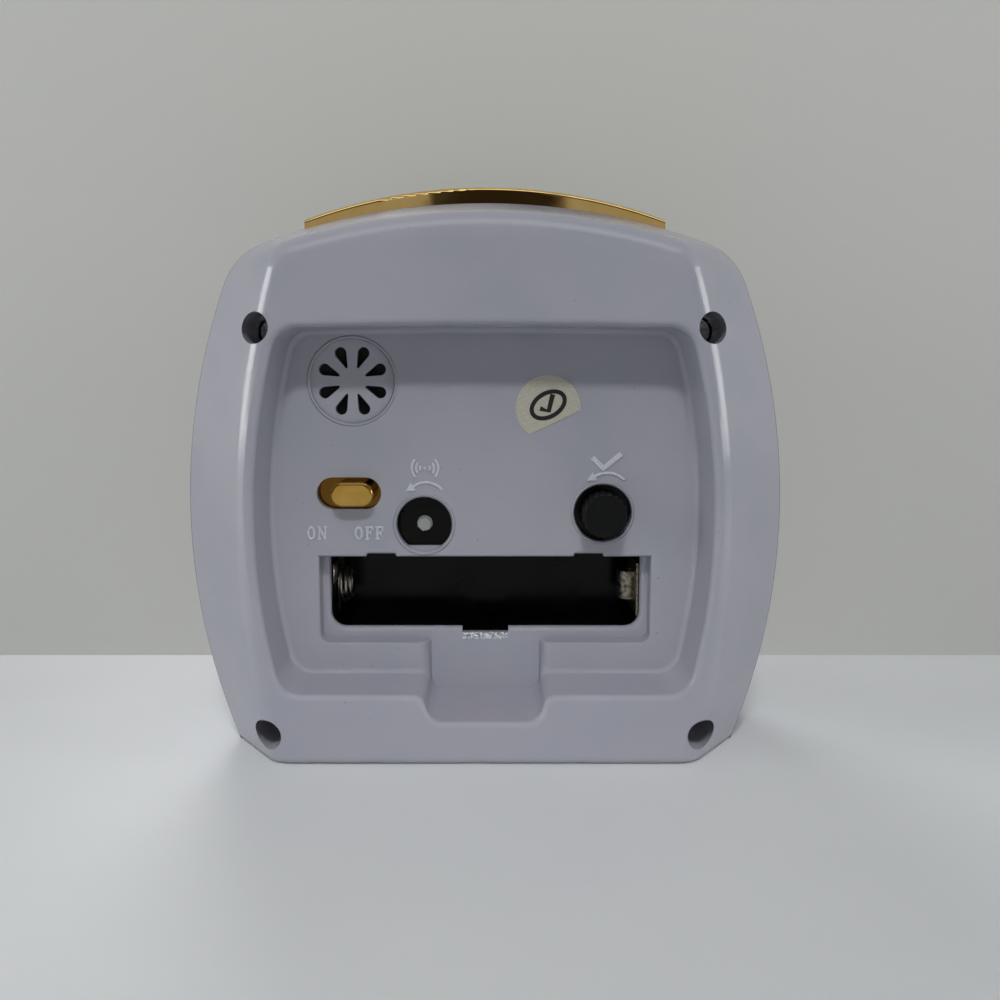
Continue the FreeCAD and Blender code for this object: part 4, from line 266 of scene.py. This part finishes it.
def copperWinding():
    # enamelled wire wound in layers: ridges across the coil, coppery and glossy; real wire is finer,
    # and its ridges are drawn coarse so that they show
    look = {"base": "#B4612F", "pitchMm": 0.6905, "waver": 0.6, "highMm": 0.05}
    waveLong = 2 * math.pi / 20  # Blender's wave repeats after this at a scale of 1
    material, tree, shader = newMaterial("copperWinding", look["base"], 0.3, 1.0)
    place = addNode(tree, "ShaderNodeTexCoord")
    turns = addNode(tree, "ShaderNodeTexWave", {"wave_type": "BANDS", "bands_direction": "X"},
                    {"Scale": waveLong / (look["pitchMm"] * mm), "Distortion": look["waver"]},
                    {"Vector": place.outputs["Object"]})
    layGrain(tree, shader, turns.outputs["Fac"], highMm=look["highMm"], strength=0.7)
    return material


finishes = {
    "lilacAbs": lilacAbs(),
    "rubbedAbs": rubbedAbs(),
    "tornAbs": tornAbs(),
    "goldPlate": goldPlate(),
    # the slider's plate below y 13.6 mm gets painted shade
    "sliderGold": goldPlate("sliderGold", "#C9A152", "#B88E42", 13.6),
    "hammeredNickel": hammeredNickel(),
    "blackAbs": speckledPlastic("blackAbs", "#040405", 0.2, 9.0, 0.002, "#060607", 0.15),
    "knobNylon": speckledPlastic("knobNylon", "#070808", 0.5, 0.45, 0.12, "#161717", 0.2),
    "stemNylon": speckledPlastic("stemNylon", "#8F908F", 0.45, 0.5, 0.01, "#9D9E9D"),
    "whiteAcetal": speckledPlastic("whiteAcetal", "#DEDDD4", 0.38, 0.8, 0.004, "#E6E6DF"),
    "nickelStrip": brushedMetal("nickelStrip", "#BDB8AC", 0.3, (1, 1, 0.3), 0.4),
    "zincSteel": brushedMetal("zincSteel", "#A5A6AA", 0.3, (1, 0.2, 1)),
    "siliconSteel": brushedMetal("siliconSteel", "#8D9094", 0.38, (0.08, 1, 1)),
    "turnedBrass": brushedMetal("turnedBrass", "#D2A862", 0.22, (1, 1, 1)),
    "drawnCan": brushedMetal("drawnCan", "#C2C4C7", 0.2, (1, 1, 0.1)),
    "copperWinding": copperWinding(),
    "boardLaminate": speckledPlastic("boardLaminate", "#1E5A38", 0.4, 0.9, 0.006, "#2C6E48"),
    "chipResin": speckledPlastic("chipResin", "#08080A", 0.25, 1.2, 0.03, "#101013"),
    "ferrite": speckledPlastic("ferrite", "#26262A", 0.6, 0.3, 0.02, "#38383C"),
    "conePaper": speckledPlastic("conePaper", "#121214", 0.7, 0.5, 0.05, "#1E1E20"),
    "labelPaper": labelPaper(),
    "clearAcrylic": clearAcrylic(),
    "dialCard": dialCard(),
    "blackLacquer": speckledPlastic("blackLacquer", "#0C0C0E", 0.2, 2.0, 0.002, "#121215"),
    "printInk": speckledPlastic("printInk", "#0E0E10", 0.45, 0.4, 0.003, "#1B1B1D"),
    "redLacquer": speckledPlastic("redLacquer", "#B3201A", 0.25, 2.0, 0.002, "#BC2A22"),
}

slotFinish = {
    "lilac_abs": "lilacAbs", "gold_plate": "goldPlate", "clear_lens": "clearAcrylic",
    "dial_card": "dialCard", "black_plastic": "blackAbs", "setting_stem": "stemNylon",
    "white_acetal": "whiteAcetal", "nickel_strip": "nickelStrip", "steel": "zincSteel",
    "silicon_steel": "siliconSteel", "copper_winding": "copperWinding",
    "board_laminate": "boardLaminate", "chip_resin": "chipResin", "crystal_can": "drawnCan",
    "turned_brass": "turnedBrass", "ferrite": "ferrite", "cone_paper": "conePaper",
    "label_paper": "labelPaper", "dark_hand": "blackLacquer", "gold_hand": "goldPlate",
    "red_hand": "redLacquer",
}

ownFinish = {"time_set_knob": "knobNylon", "positive_contact": "hammeredNickel",
             "switch_slider": "sliderGold"}  # nodes that don't take their slot's finish


def dressNodes():
    for part in frame["record"]["subparts"]:
        piece = frame["nodes"][part["node"]]
        piece.data.materials.clear()
        piece.data.materials.append(finishes[slotFinish[part["material_slot"]]])
    for name, finish in ownFinish.items():
        frame["nodes"][name].data.materials[0] = finishes[finish]


dressNodes()
print("finishes on the frame's nodes")


# Mesh helpers

def addPiece(name, mesh, finish, body):
    piece = bpy.data.objects.new(name, mesh)
    bpy.context.scene.collection.objects.link(piece)
    mesh.materials.append(finishes[finish])
    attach(piece, body)
    return piece


def meshFrom(name, bm, smooth=True):
    mesh = bpy.data.meshes.new(name)
    bmesh.ops.recalc_face_normals(bm, faces=bm.faces)
    bm.to_mesh(mesh)
    bm.free()
    for face in mesh.polygons:
        face.use_smooth = smooth
    return mesh


def tubeAlong(bm, path, radius):
    # a round wire along a path of points, closed at both ends
    sides = 8
    turns = [2 * math.pi * k / sides for k in range(sides)]
    rings = []
    side = None
    for i, point in enumerate(path):
        way = (path[min(i + 1, len(path) - 1)] - path[max(i - 1, 0)]).normalized()
        side = (way.orthogonal() if side is None else side - way * side.dot(way)).normalized()
        other = way.cross(side)
        rings.append([bm.verts.new(point + (side * math.cos(t) + other * math.sin(t)) * radius)
                      for t in turns])
    for one, two in zip(rings, rings[1:]):
        for k in range(sides):
            bm.faces.new((one[k], one[(k + 1) % sides], two[(k + 1) % sides], two[k]))
    bm.faces.new(rings[0])
    bm.faces.new(rings[-1][::-1])


def insetRing(ring, by):
    # moves each corner of a closed outline inwards by an amount, or outwards if it is negative
    leastCosine = 0.45  # keeps the step short at sharp corners
    count = len(ring)
    area = sum(ring[i][0] * ring[(i + 1) % count][1] - ring[(i + 1) % count][0] * ring[i][1]
               for i in range(count))
    way = 1 if area > 0 else -1
    moved = []
    for i, (x, z) in enumerate(ring):
        before, after = Vector(ring[i - 1]), Vector(ring[(i + 1) % count])
        first = (Vector((x, z)) - before).normalized()
        second = (after - Vector((x, z))).normalized()
        normals = [Vector((-v.y, v.x)) * way for v in (first, second)]
        middle = (normals[0] + normals[1]).normalized()
        step = by / max(leastCosine, middle.dot(normals[0]))
        moved.append((x + middle.x * step, z + middle.y * step))
    return moved


def raisedShape(bm, outer, inner, baseY, high, soft):
    # a flat-topped shape on a plane of one y, with a soft edge, all in mm; inner is a hole or None,
    # and a negative height stands towards the front
    way = math.copysign(1, high)
    sunk = 0.04
    levels = []
    for ring, inward in ((outer, soft), (inner, -soft)):
        if ring is None:
            continue
        rows = ((ring, -way * sunk), (ring, high - way * soft), (insetRing(ring, inward), high))
        levels.append([[bm.verts.new((x * mm, (baseY + y) * mm, z * mm)) for x, z in corners]
                       for corners, y in rows])
    for rows in levels:
        for low, up in zip(rows, rows[1:]):
            for k in range(len(low)):
                bm.faces.new((low[k], low[(k + 1) % len(low)], up[(k + 1) % len(low)], up[k]))
    for level in (0, 2):
        first = levels[0][level]
        if inner is None:
            bm.faces.new(first)
            continue
        second = levels[1][level]
        for k in range(len(first)):
            nxt = (k + 1) % len(first)
            bm.faces.new((first[k], first[nxt], second[nxt], second[k]))


def bandRing(path, half):
    # the outline of a band of even width along a flat path
    sides = []
    for i, (x, z) in enumerate(path):
        before, after = Vector(path[max(i - 1, 0)]), Vector(path[min(i + 1, len(path) - 1)])
        way = (after - before).normalized()
        sides.append(((x - way.y * half, z + way.x * half), (x + way.y * half, z - way.x * half)))
    return [left for left, _ in sides] + [right for _, right in reversed(sides)]


def arcPoints(centreX, centreZ, radius, start, end, steps):
    # points of an arc in the XZ plane, with angles in degrees from +X towards +Z
    turns = [math.radians(start + (end - start) * k / steps) for k in range(steps + 1)]
    return [(centreX + radius * math.cos(t), centreZ + radius * math.sin(t)) for t in turns]


def arcThrough(first, middle, last, steps):
    # points of the arc that runs through three points of the XZ plane
    (ax, az), (bx, bz), (cx, cz) = first, middle, last
    bend = 2 * (ax * (bz - cz) + bx * (cz - az) + cx * (az - bz))
    far = [x * x + z * z for x, z in (first, middle, last)]
    centreX = (far[0] * (bz - cz) + far[1] * (cz - az) + far[2] * (az - bz)) / bend
    centreZ = (far[0] * (cx - bx) + far[1] * (ax - cx) + far[2] * (bx - ax)) / bend
    start = math.degrees(math.atan2(az - centreZ, ax - centreX))
    end = math.degrees(math.atan2(cz - centreZ, cx - centreX))
    return arcPoints(centreX, centreZ, math.hypot(ax - centreX, az - centreZ), start, end, steps)


# Where things are on the panel, from the frame

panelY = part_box("inspection_sticker")[0].y


def middleOf(node):
    low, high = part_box(node)
    return (low + high) / 2


alarmAt = middleOf("alarm_set_stem")
stickerAt = middleOf("inspection_sticker")


# Solid raised marks beside the controls, moulded with the panel; sizes and places in mm

marks = {
    "high": 0.24, "soft": 0.07, "bandHalf": 0.27, "headLong": 1.9, "headHalf": 0.95,
    "letterHigh": 2.75, "letterGap": 0.42, "wordZ": 43.5,
    "words": (("ON", 33.25, 3.95), ("OFF", 23.0, 5.7)),
    "soundAt": (11.75, 56.4), "soundRadii": (0.95, 1.75, 2.6), "soundHalf": 0.25,
    "soundReach": (30, 36, 42), "soundDot": 0.34,
    "alarmArrow": {"neck": (14.1, 52.75), "top": (11.5, 53.6), "tail": (8.4, 52.05)},
    "timeArrow": {"neck": (-21.7, 54.75), "top": (-24.2, 55.45), "tail": (-27.5, 54.0)},
    "handsCorner": (-23.3, 56.1), "handsTips": ((-21.15, 58.5), (-26.85, 59.2)), "handsHalf": 0.52,
    "handsInner": 0.65, "handsOuter": 0.3,
}


def letterOutline(kind):
    # outline, hole and width of a plain slab letter, 1 high
    if kind == "O":
        turns = [2 * math.pi * k / 24 for k in range(24)]
        outer, hole = ([(0.42 + wide * math.cos(t), 0.5 + tall * math.sin(t)) for t in turns]
                       for wide, tall in ((0.42, 0.5), (0.2, 0.33)))
        return outer, hole, 0.84
    if kind == "N":
        return [(0, 0), (0.34, 0), (0.34, 0.14), (0.26, 0.14), (0.26, 0.6), (0.66, 0), (0.84, 0),
                (0.84, 0.86), (0.94, 0.86), (0.94, 1), (0.58, 1), (0.58, 0.86), (0.68, 0.86),
                (0.68, 0.4), (0.28, 1), (0, 1), (0, 0.86), (0.09, 0.86), (0.09, 0.14),
                (0, 0.14)], None, 0.94
    return [(0, 0), (0.42, 0), (0.42, 0.14), (0.31, 0.14), (0.31, 0.43), (0.49, 0.43), (0.49, 0.33),
            (0.6, 0.33), (0.6, 0.69), (0.49, 0.69), (0.49, 0.59), (0.31, 0.59), (0.31, 0.85),
            (0.63, 0.85), (0.63, 0.68), (0.76, 0.68), (0.76, 1), (0, 1), (0, 0.86), (0.09, 0.86),
            (0.09, 0.14), (0, 0.14)], None, 0.76


def addMark(bm, outer, inner=None):
    raisedShape(bm, outer, inner, panelY / mm, marks["high"], marks["soft"])


def writeWord(bm, word, centreX, width):
    # seen from the back the word reads along -X
    letters = [letterOutline(letter) for letter in word]
    units = sum(wide for _, _, wide in letters)
    across = (width - marks["letterGap"] * (len(word) - 1)) / units
    high = marks["letterHigh"]
    low = marks["wordZ"] - high / 2
    x = centreX + width / 2
    for outer, inner, wide in letters:
        placed = [[(x - px * across, low + pz * high) for px, pz in ring] if ring else None
                  for ring in (outer, inner)]
        addMark(bm, *placed)
        x -= wide * across + marks["letterGap"]


def arrowMark(bm, arrow):
    # a curved band from its tail to its neck, and a head along the band's end
    path = arcThrough(arrow["tail"], arrow["top"], arrow["neck"], 14)
    ring = bandRing(path, marks["bandHalf"])
    way = (Vector(path[-1]) - Vector(path[-2])).normalized()
    aside = Vector((-way.y, way.x)) * marks["headHalf"]
    neck = Vector(path[-1])
    head = [tuple(neck + aside), tuple(neck + way * marks["headLong"]), tuple(neck - aside)]
    half = len(path)
    addMark(bm, ring[:half] + head + ring[half:])


def soundMark(bm):
    # three arcs each side of a small dot
    x, z = marks["soundAt"]
    for side in (0, 180):
        for radius, reach in zip(marks["soundRadii"], marks["soundReach"]):
            path = arcPoints(x, z, radius, side - reach, side + reach, 8)
            addMark(bm, bandRing(path, marks["soundHalf"]))
    addMark(bm, arcPoints(x, z, marks["soundDot"], 0, 330, 11))


def handsMark(bm):
    # two clock hands that meet in a V
    corner = Vector(marks["handsCorner"])
    arms = [Vector(tip) - corner for tip in marks["handsTips"]]
    sides = [Vector((arm.y, -arm.x)).normalized() * marks["handsHalf"] for arm in arms]
    between = arms[0].normalized() + arms[1].normalized()
    inner = corner + between * marks["handsInner"]
    outer = corner - between * marks["handsOuter"]
    first, second = corner + arms[0], corner + arms[1]
    ring = [outer, first + sides[0], first - sides[0], inner, second + sides[1], second - sides[1]]
    addMark(bm, [tuple(point) for point in ring])


def panelMarks():
    bm = bmesh.new()
    for word, x, width in marks["words"]:
        writeWord(bm, word, x, width)
    soundMark(bm)
    handsMark(bm)
    arrowMark(bm, marks["alarmArrow"])
    arrowMark(bm, marks["timeArrow"])
    # the raised marks take the pale finish, a painted highlight on their strokes
    addPiece("panel_marks", meshFrom("panel_marks", bm, False), "rubbedAbs", "case")


panelMarks()
print("marks on the panel")


# Raised lips round the grille and the two setting holes; sizes in mm

lipLook = {"slope": 0.4, "crest": 0.22, "outer": 0.75, "sunk": 0.04, "lap": 0.02, "sides": 72,
           "grille": 8.15, "knobHole": 5.6, "alarmHole": 5.5}


def lipRing(bm, centre, radius):
    look = lipLook
    profile = ((radius - look["lap"], -look["sunk"]), (radius + look["slope"], look["crest"]),
               (radius + look["outer"], -look["sunk"]))
    rings = []
    for k in range(look["sides"]):
        turn = 2 * math.pi * k / look["sides"]
        rings.append([bm.verts.new((centre.x + r * mm * math.cos(turn), panelY + y * mm,
                                    centre.z + r * mm * math.sin(turn))) for r, y in profile])
    for one, two in zip(rings, rings[1:] + rings[:1]):
        for i in range(3):
            nxt = (i + 1) % 3
            bm.faces.new((one[i], one[nxt], two[nxt], two[i]))


def holeLips():
    bm = bmesh.new()
    lipRing(bm, middleOf("speaker_cone"), lipLook["grille"])
    lipRing(bm, middleOf("time_set_knob"), lipLook["knobHole"])
    lipRing(bm, alarmAt, lipLook["alarmHole"])
    addPiece("hole_lips", meshFrom("hole_lips", bm), "lilacAbs", "case")


holeLips()
print("lips round the holes")


# Mark on the paper label: an oval ring round a tick, in black ink; sizes in mm

labelMark = {"half": (3.9, 2.7), "band": 0.85, "turn": 30, "stroke": 0.48, "proud": 0.03, "soft": 0.01,
             "points": 40, "tick": ((-1.7, 0.2), (-0.5, -1.1), (1.8, 1.35))}


def stickerMark():
    look = labelMark
    wide, tall = look["half"]
    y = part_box("inspection_sticker")[1].y / mm
    angle = math.radians(look["turn"])

    def turned(x, z):
        return (stickerAt.x / mm - x * math.cos(angle) + z * math.sin(angle),
                stickerAt.z / mm + x * math.sin(angle) + z * math.cos(angle))

    turns = [2 * math.pi * k / look["points"] for k in range(look["points"])]
    outer, hole = ([turned((wide - inward) * math.cos(t), (tall - inward) * math.sin(t)) for t in turns]
                   for inward in (0, look["band"]))
    tick = bandRing([turned(x, z) for x, z in look["tick"]], look["stroke"])
    bm = bmesh.new()
    raisedShape(bm, outer, hole, y, look["proud"], look["soft"])
    raisedShape(bm, tick, None, y, look["proud"], look["soft"])
    addPiece("sticker_mark", meshFrom("sticker_mark", bm, False), "printInk", "case")


stickerMark()
print("mark on the label")


# Springs: bent wire, in place of the plain solids

def coilSpring(bm, start, end, radii, turns, wire):
    # a wire helix between two points, whose radius runs from the first to the second of radii
    stepsPerTurn = 22
    way = (end - start).normalized()
    side = way.orthogonal().normalized()
    other = way.cross(side)
    steps = int(turns * stepsPerTurn)
    path = []
    for i in range(steps + 1):
        share = i / steps
        turn = 2 * math.pi * turns * share
        radius = radii[0] + (radii[1] - radii[0]) * share
        path.append(start.lerp(end, share) + (side * math.cos(turn) + other * math.sin(turn)) * radius)
    tubeAlong(bm, path, wire)


keyCoil = {"wire": 0.25 * mm, "turns": 6.5, "keep": 0.72}


def keySprings():
    wire = keyCoil["wire"]
    for side in ("left", "right"):
        node = f"key_spring_{side}"
        name = f"key_coil_{side}"
        low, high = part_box(node)
        middle = (low + high) / 2
        radius = (high.x - low.x) / 2 - wire
        bm = bmesh.new()
        coilSpring(bm, Vector((middle.x, middle.y, low.z + wire)),
                   Vector((middle.x, middle.y, high.z - wire)),
                   (radius, radius), keyCoil["turns"], wire)
        piece = addPiece(name, meshFrom(name, bm), "zincSteel", "case")
        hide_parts(node)
        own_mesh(piece)


springContact = {"wire": 0.3 * mm, "turns": 3.0, "radii": (4.1 * mm, 2.6 * mm), "long": 2.6 * mm,
                 "plate": 0.35 * mm, "plateHigh": 4.2 * mm, "leg": 1.6 * mm, "bevel": 0.105 * mm}


def negativeContact():
    # a nickel strip on the end wall of the bay, with a short cone spring held by it
    look = springContact
    low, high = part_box("negative_contact")
    middle = (low + high) / 2
    plateX = high.x - look["plate"] / 2
    plates = (((look["plate"], high.y - low.y, look["plateHigh"]),
               (plateX, middle.y, high.z - look["plateHigh"] / 2)),
              ((look["plate"], look["leg"], high.z - low.z), (plateX, middle.y, middle.z)))
    bm = bmesh.new()
    for size, at in plates:
        made = bmesh.ops.create_cube(bm, size=1,
                                     matrix=Matrix.Translation(at) @ Matrix.Diagonal((*size, 1)))
        edges = list(dict.fromkeys(edge for vert in made["verts"] for edge in vert.link_edges))
        bmesh.ops.bevel(bm, geom=edges, offset=look["bevel"], segments=2, affect="EDGES")
    start = Vector((high.x - look["plate"] - look["wire"], middle.y, middle.z))
    coilSpring(bm, start, start - Vector((look["long"], 0, 0)), look["radii"], look["turns"],
               look["wire"])
    piece = addPiece("spring_contact", meshFrom("spring_contact", bm), "nickelStrip", "case")
    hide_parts("negative_contact")


keySprings()
negativeContact()
print("springs and contacts")


# Torn lip under the latch notch, where the clip has broken out; sizes in mm

tornLook = {"halfWide": 4.75, "low": 20.9, "high": 22.4, "faceY": 9.0, "cells": (56, 10), "rise": 0.42,
            "level": 0.35, "lap": 0.03, "sunk": 0.12, "waver": 0.16, "waverStep": 0.5,
            "coarseStep": (0.41, 0.37), "fineStep": (1.1, 0.9), "fineShare": 0.5,
            "fadeEnds": 6, "fadeFoot": 3.5, "fadeTop": 6, "keepTop": 0.25}


def tornRise(i, j, u, v):
    # how far the torn face stands out in a cell: ragged, and fading towards its edges
    look = tornLook
    fade = min(1, (1 - abs(u)) * look["fadeEnds"]) * min(1, v * look["fadeFoot"])
    fade *= min(1, (1 - v) * look["fadeTop"] + look["keepTop"])
    coarse = noise.noise(Vector((i * look["coarseStep"][0], j * look["coarseStep"][1], 3.1)))
    fine = noise.noise(Vector((i * look["fineStep"][0], j * look["fineStep"][1], 0)))
    return look["rise"] * fade * max(0.0, look["level"] + coarse + look["fineShare"] * fine)


def tornLip():
    look = tornLook
    across, up = look["cells"]
    bm = bmesh.new()
    rows = []
    for j in range(up + 1):
        row = []
        for i in range(across + 1):
            u, v = 2 * i / across - 1, j / up
            y = look["faceY"] - look["lap"] + tornRise(i, j, u, v)
            z = look["low"] + (look["high"] - look["low"]) * v
            z += look["waver"] * noise.noise(Vector((i * look["waverStep"], 7, j)))
            row.append(bm.verts.new((u * look["halfWide"] * mm, y * mm, z * mm)))
        rows.append(row)
    for one, two in zip(rows, rows[1:]):
        for i in range(across):
            bm.faces.new((one[i], one[i + 1], two[i + 1], two[i]))
    right, left = [row[-1] for row in rows[1:]], [row[0] for row in rows[-2:0:-1]]
    rim = rows[0] + right + rows[-1][-2::-1] + left
    sunk = [bm.verts.new((vert.co.x, (look["faceY"] - look["sunk"]) * mm, vert.co.z)) for vert in rim]
    for k in range(len(rim)):
        nxt = (k + 1) % len(rim)
        bm.faces.new((rim[k], rim[nxt], sunk[nxt], sunk[k]))
    bm.faces.new(sunk)
    addPiece("torn_lip", meshFrom("torn_lip", bm, False), "tornAbs", "case")


tornLip()
print("torn lip")


# Print on the dial: hour numbers, hour bars and a minute track; sizes in mm

dialPrint = {"trackOut": 42.5, "rim": 1.2, "numberAt": 33.0, "numberHigh": 6.4, "sizeOverHigh": 1.38,
             "barIn": 39.4, "barOut": 42.2, "hourHalf": 0.42, "minuteIn": 41.0, "minuteHalf": 0.14,
             "proud": 0.04, "soft": 0.01}


def numberMesh(hour, at, grow):
    # a plain number that stands on the dial's front face and is read from the front
    curve = bpy.data.curves.new("number", "FONT")
    curve.body = str(hour)
    curve.size = dialPrint["numberHigh"] * mm * grow * dialPrint["sizeOverHigh"]
    curve.align_x, curve.align_y = "CENTER", "CENTER"
    curve.extrude = dialPrint["proud"] * mm
    curve.resolution_u = 4
    text = bpy.data.objects.new("number", curve)
    mesh = bpy.data.meshes.new_from_object(text)
    bpy.data.objects.remove(text)
    mesh.transform(Matrix.Translation(at) @ Matrix.Rotation(math.pi / 2, 4, "X"))
    return mesh


def dialMarks():
    look = dialPrint
    low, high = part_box("dial")
    hub = middleOf("second_wheel")
    faceY = low.y / mm
    reach = min(high.x - low.x, high.z - low.z) / 2 / mm
    grow = min(1.0, (reach - look["rim"]) / look["trackOut"])
    bm = bmesh.new()
    for minute in range(60):
        angle = math.radians(90 - minute * 6)
        isHour = minute % 5 == 0
        inner = look["barIn"] if isHour else look["minuteIn"]
        half = look["hourHalf"] if isHour else look["minuteHalf"]
        ends = [(hub.x / mm + r * grow * math.cos(angle), hub.z / mm + r * grow * math.sin(angle))
                for r in (inner, look["barOut"])]
        raisedShape(bm, bandRing(ends, half * grow), None, faceY, -look["proud"], look["soft"])
    for hour in range(1, 13):
        angle = math.radians(90 - hour * 30)
        at = Vector((hub.x + look["numberAt"] * mm * grow * math.cos(angle), low.y,
                     hub.z + look["numberAt"] * mm * grow * math.sin(angle)))
        bm.from_mesh(numberMesh(hour, at, grow))
    addPiece("dial_print", meshFrom("dial_print", bm, False), "printInk", "case")


dialMarks()
print("print on the dial")


# Stage, light and camera

stageLook = {"floor": "#D3D6D8", "floorStain": "#D8DBDC", "stainMm": 60, "wall": "#C4C5C1",
             "wallY": -0.055, "half": 1.6}


def stagePlane(name, corners, material):
    mesh = bpy.data.meshes.new(name)
    mesh.from_pydata(corners, [], [(0, 1, 2, 3)])
    plane = bpy.data.objects.new(name, mesh)
    bpy.context.scene.collection.objects.link(plane)
    mesh.materials.append(material)
    return plane


def buildFloor():
    half = stageLook["half"]
    material, tree, shader = newMaterial("paleFloor", stageLook["floor"], 0.55)
    layGrain(tree, shader, grainOf(tree, stageLook["stainMm"], 6),
             ((0.3, stageLook["floor"]), (0.75, stageLook["floorStain"])))
    stagePlane("floor", [(-half, -half, 0), (half, -half, 0), (half, half, 0), (-half, half, 0)], material)


def buildWall():
    # the backdrop is seen from the clock's back only, so that it hides nothing from the front
    half, y = stageLook["half"], stageLook["wallY"]
    material, tree, shader = newMaterial("plainWall", stageLook["wall"], 0.6)
    facing = addNode(tree, "ShaderNodeNewGeometry")
    clear = addNode(tree, "ShaderNodeBsdfTransparent")
    seen = addNode(tree, "ShaderNodeMixShader", links={
        0: facing.outputs["Backfacing"], 1: shader.outputs["BSDF"], 2: clear.outputs["BSDF"]})
    tree.links.new(seen.outputs["Shader"], tree.nodes["Material Output"].inputs["Surface"])
    wall = stagePlane("wall", [(-half, y, half), (half, y, half), (half, y, 0), (-half, y, 0)], material)
    wall.visible_shadow = False
    wall.visible_diffuse = False


def addLamp(name, way, distance, size, power, lookAt=(0, 0.01, 0.05)):
    # an area lamp that looks at the clock from a direction
    target = Vector(lookAt)
    data = bpy.data.lights.new(name, "AREA")
    data.shape = "RECTANGLE"
    data.size, data.size_y = size
    data.energy = power
    lamp = bpy.data.objects.new(name, data)
    lamp.location = target + Vector(way).normalized() * distance
    lamp.rotation_euler = (target - lamp.location).to_track_quat("-Z", "Y").to_euler()
    bpy.context.scene.collection.objects.link(lamp)
    return lamp


roomLook = {"pale": "#BDBEBC", "paleAway": "#C9CCD2", "dark": "#2A2421", "darkAway": "#58524E",
            "ambient": 0.13}


def dressWorld(tree):
    # the room: pale to the eye, dim as a light, and dark on the side of the clock's back (+Y),
    # which is what gloss and gold show there
    place = addNode(tree, "ShaderNodeTexCoord")
    axes = addNode(tree, "ShaderNodeSeparateXYZ", links={"Vector": place.outputs["Generated"]})
    toward = addNode(tree, "ShaderNodeMapRange", values={"From Min": -0.3, "From Max": 0.7},
                     links={"Value": axes.outputs["Y"]}).outputs["Result"]
    dim = addNode(tree, "ShaderNodeValToRGB", links={"Fac": toward},
                  stops=((0.0, roomLook["paleAway"]), (1.0, roomLook["darkAway"])))
    shown = addNode(tree, "ShaderNodeValToRGB", links={"Fac": toward},
                    stops=((0.3, roomLook["pale"]), (0.95, roomLook["dark"])))
    path = addNode(tree, "ShaderNodeLightPath").outputs
    picked = addNode(tree, "ShaderNodeMix", {"data_type": "RGBA"}, {"A": linear(roomLook["pale"])},
                     {"Factor": path["Is Glossy Ray"], "B": shown.outputs["Color"]})
    seen = path["Is Camera Ray"]
    for ray in ("Is Glossy Ray", "Is Transmission Ray"):
        seen = addNode(tree, "ShaderNodeMath", {"operation": "MAXIMUM"},
                       links={0: seen, 1: path[ray]}).outputs[0]
    ambient = tree.nodes["Background"]
    ambient.inputs["Strength"].default_value = roomLook["ambient"]
    tree.links.new(dim.outputs["Color"], ambient.inputs["Color"])
    view = addNode(tree, "ShaderNodeBackground", links={"Color": picked.outputs["Result"]})
    both = addNode(tree, "ShaderNodeMixShader", links={
        0: seen, 1: ambient.outputs["Background"], 2: view.outputs["Background"]})
    tree.links.new(both.outputs["Shader"], tree.nodes["World Output"].inputs["Surface"])


lampLook = {
    "key": {"way": (0, 0.67, 0.743), "distance": 0.95, "size": (0.16, 0.07), "power": 3.4},
    "over": {"way": (0, 0.42, 0.9), "distance": 0.95, "size": (0.9, 0.4), "power": 1.3},
    "sideLeft": {"way": (0.97, 0.15, 0.2), "distance": 0.8, "size": (0.4, 0.3), "power": 2.15},
    "sideRight": {"way": (-0.97, 0.15, 0.2), "distance": 0.8, "size": (0.4, 0.3), "power": 1.7},
    "cardLeft": {"way": (0.32, 1.0, 0.2), "distance": 1.0, "size": (0.46, 0.42), "power": 0.21},
    "cardRight": {"way": (-0.32, 1.0, 0.2), "distance": 1.0, "size": (0.46, 0.42), "power": 0.21},
    "low": {"way": (0, 0.95, 0.3), "distance": 0.6, "size": (0.12, 0.05), "power": 0.006,
            "lookAt": (0, 0.01, -0.01)},
    "front": {"way": (0.25, -0.9, 0.6), "distance": 1.0, "size": (0.4, 0.4), "power": 2.8},
}


def buildLight():
    lamps = {name: addLamp(name, **look) for name, look in lampLook.items()}
    lamps["low"].data.spread = math.radians(16)  # a narrow beam on the foot of the back
    for name in ("key", "low"):
        lamps[name].visible_glossy = False  # the broad lamps give the soft highlights
    world = bpy.data.worlds.new("studio")
    world.use_nodes = True
    dressWorld(world.node_tree)
    bpy.context.scene.world = world


cameraPlace = {"at": (-0.003, 0.213, 0.0736), "pitch": 6.71, "focalPx": 1020, "imagePx": 1000,
               "sensor": 36}


def buildCamera():
    data = bpy.data.cameras.new("camera")
    data.sensor_width = cameraPlace["sensor"]
    data.sensor_fit = "HORIZONTAL"
    data.lens = cameraPlace["sensor"] * cameraPlace["focalPx"] / cameraPlace["imagePx"]
    data.clip_start = 0.01
    camera = bpy.data.objects.new("camera", data)
    camera.location = cameraPlace["at"]
    camera.rotation_euler = (math.radians(90 - cameraPlace["pitch"]), 0, math.pi)
    bpy.context.scene.collection.objects.link(camera)
    bpy.context.scene.camera = camera


buildFloor()
buildWall()
buildLight()
buildCamera()
bpy.context.scene.view_settings.view_transform = "Standard"
print("stage, light and camera")
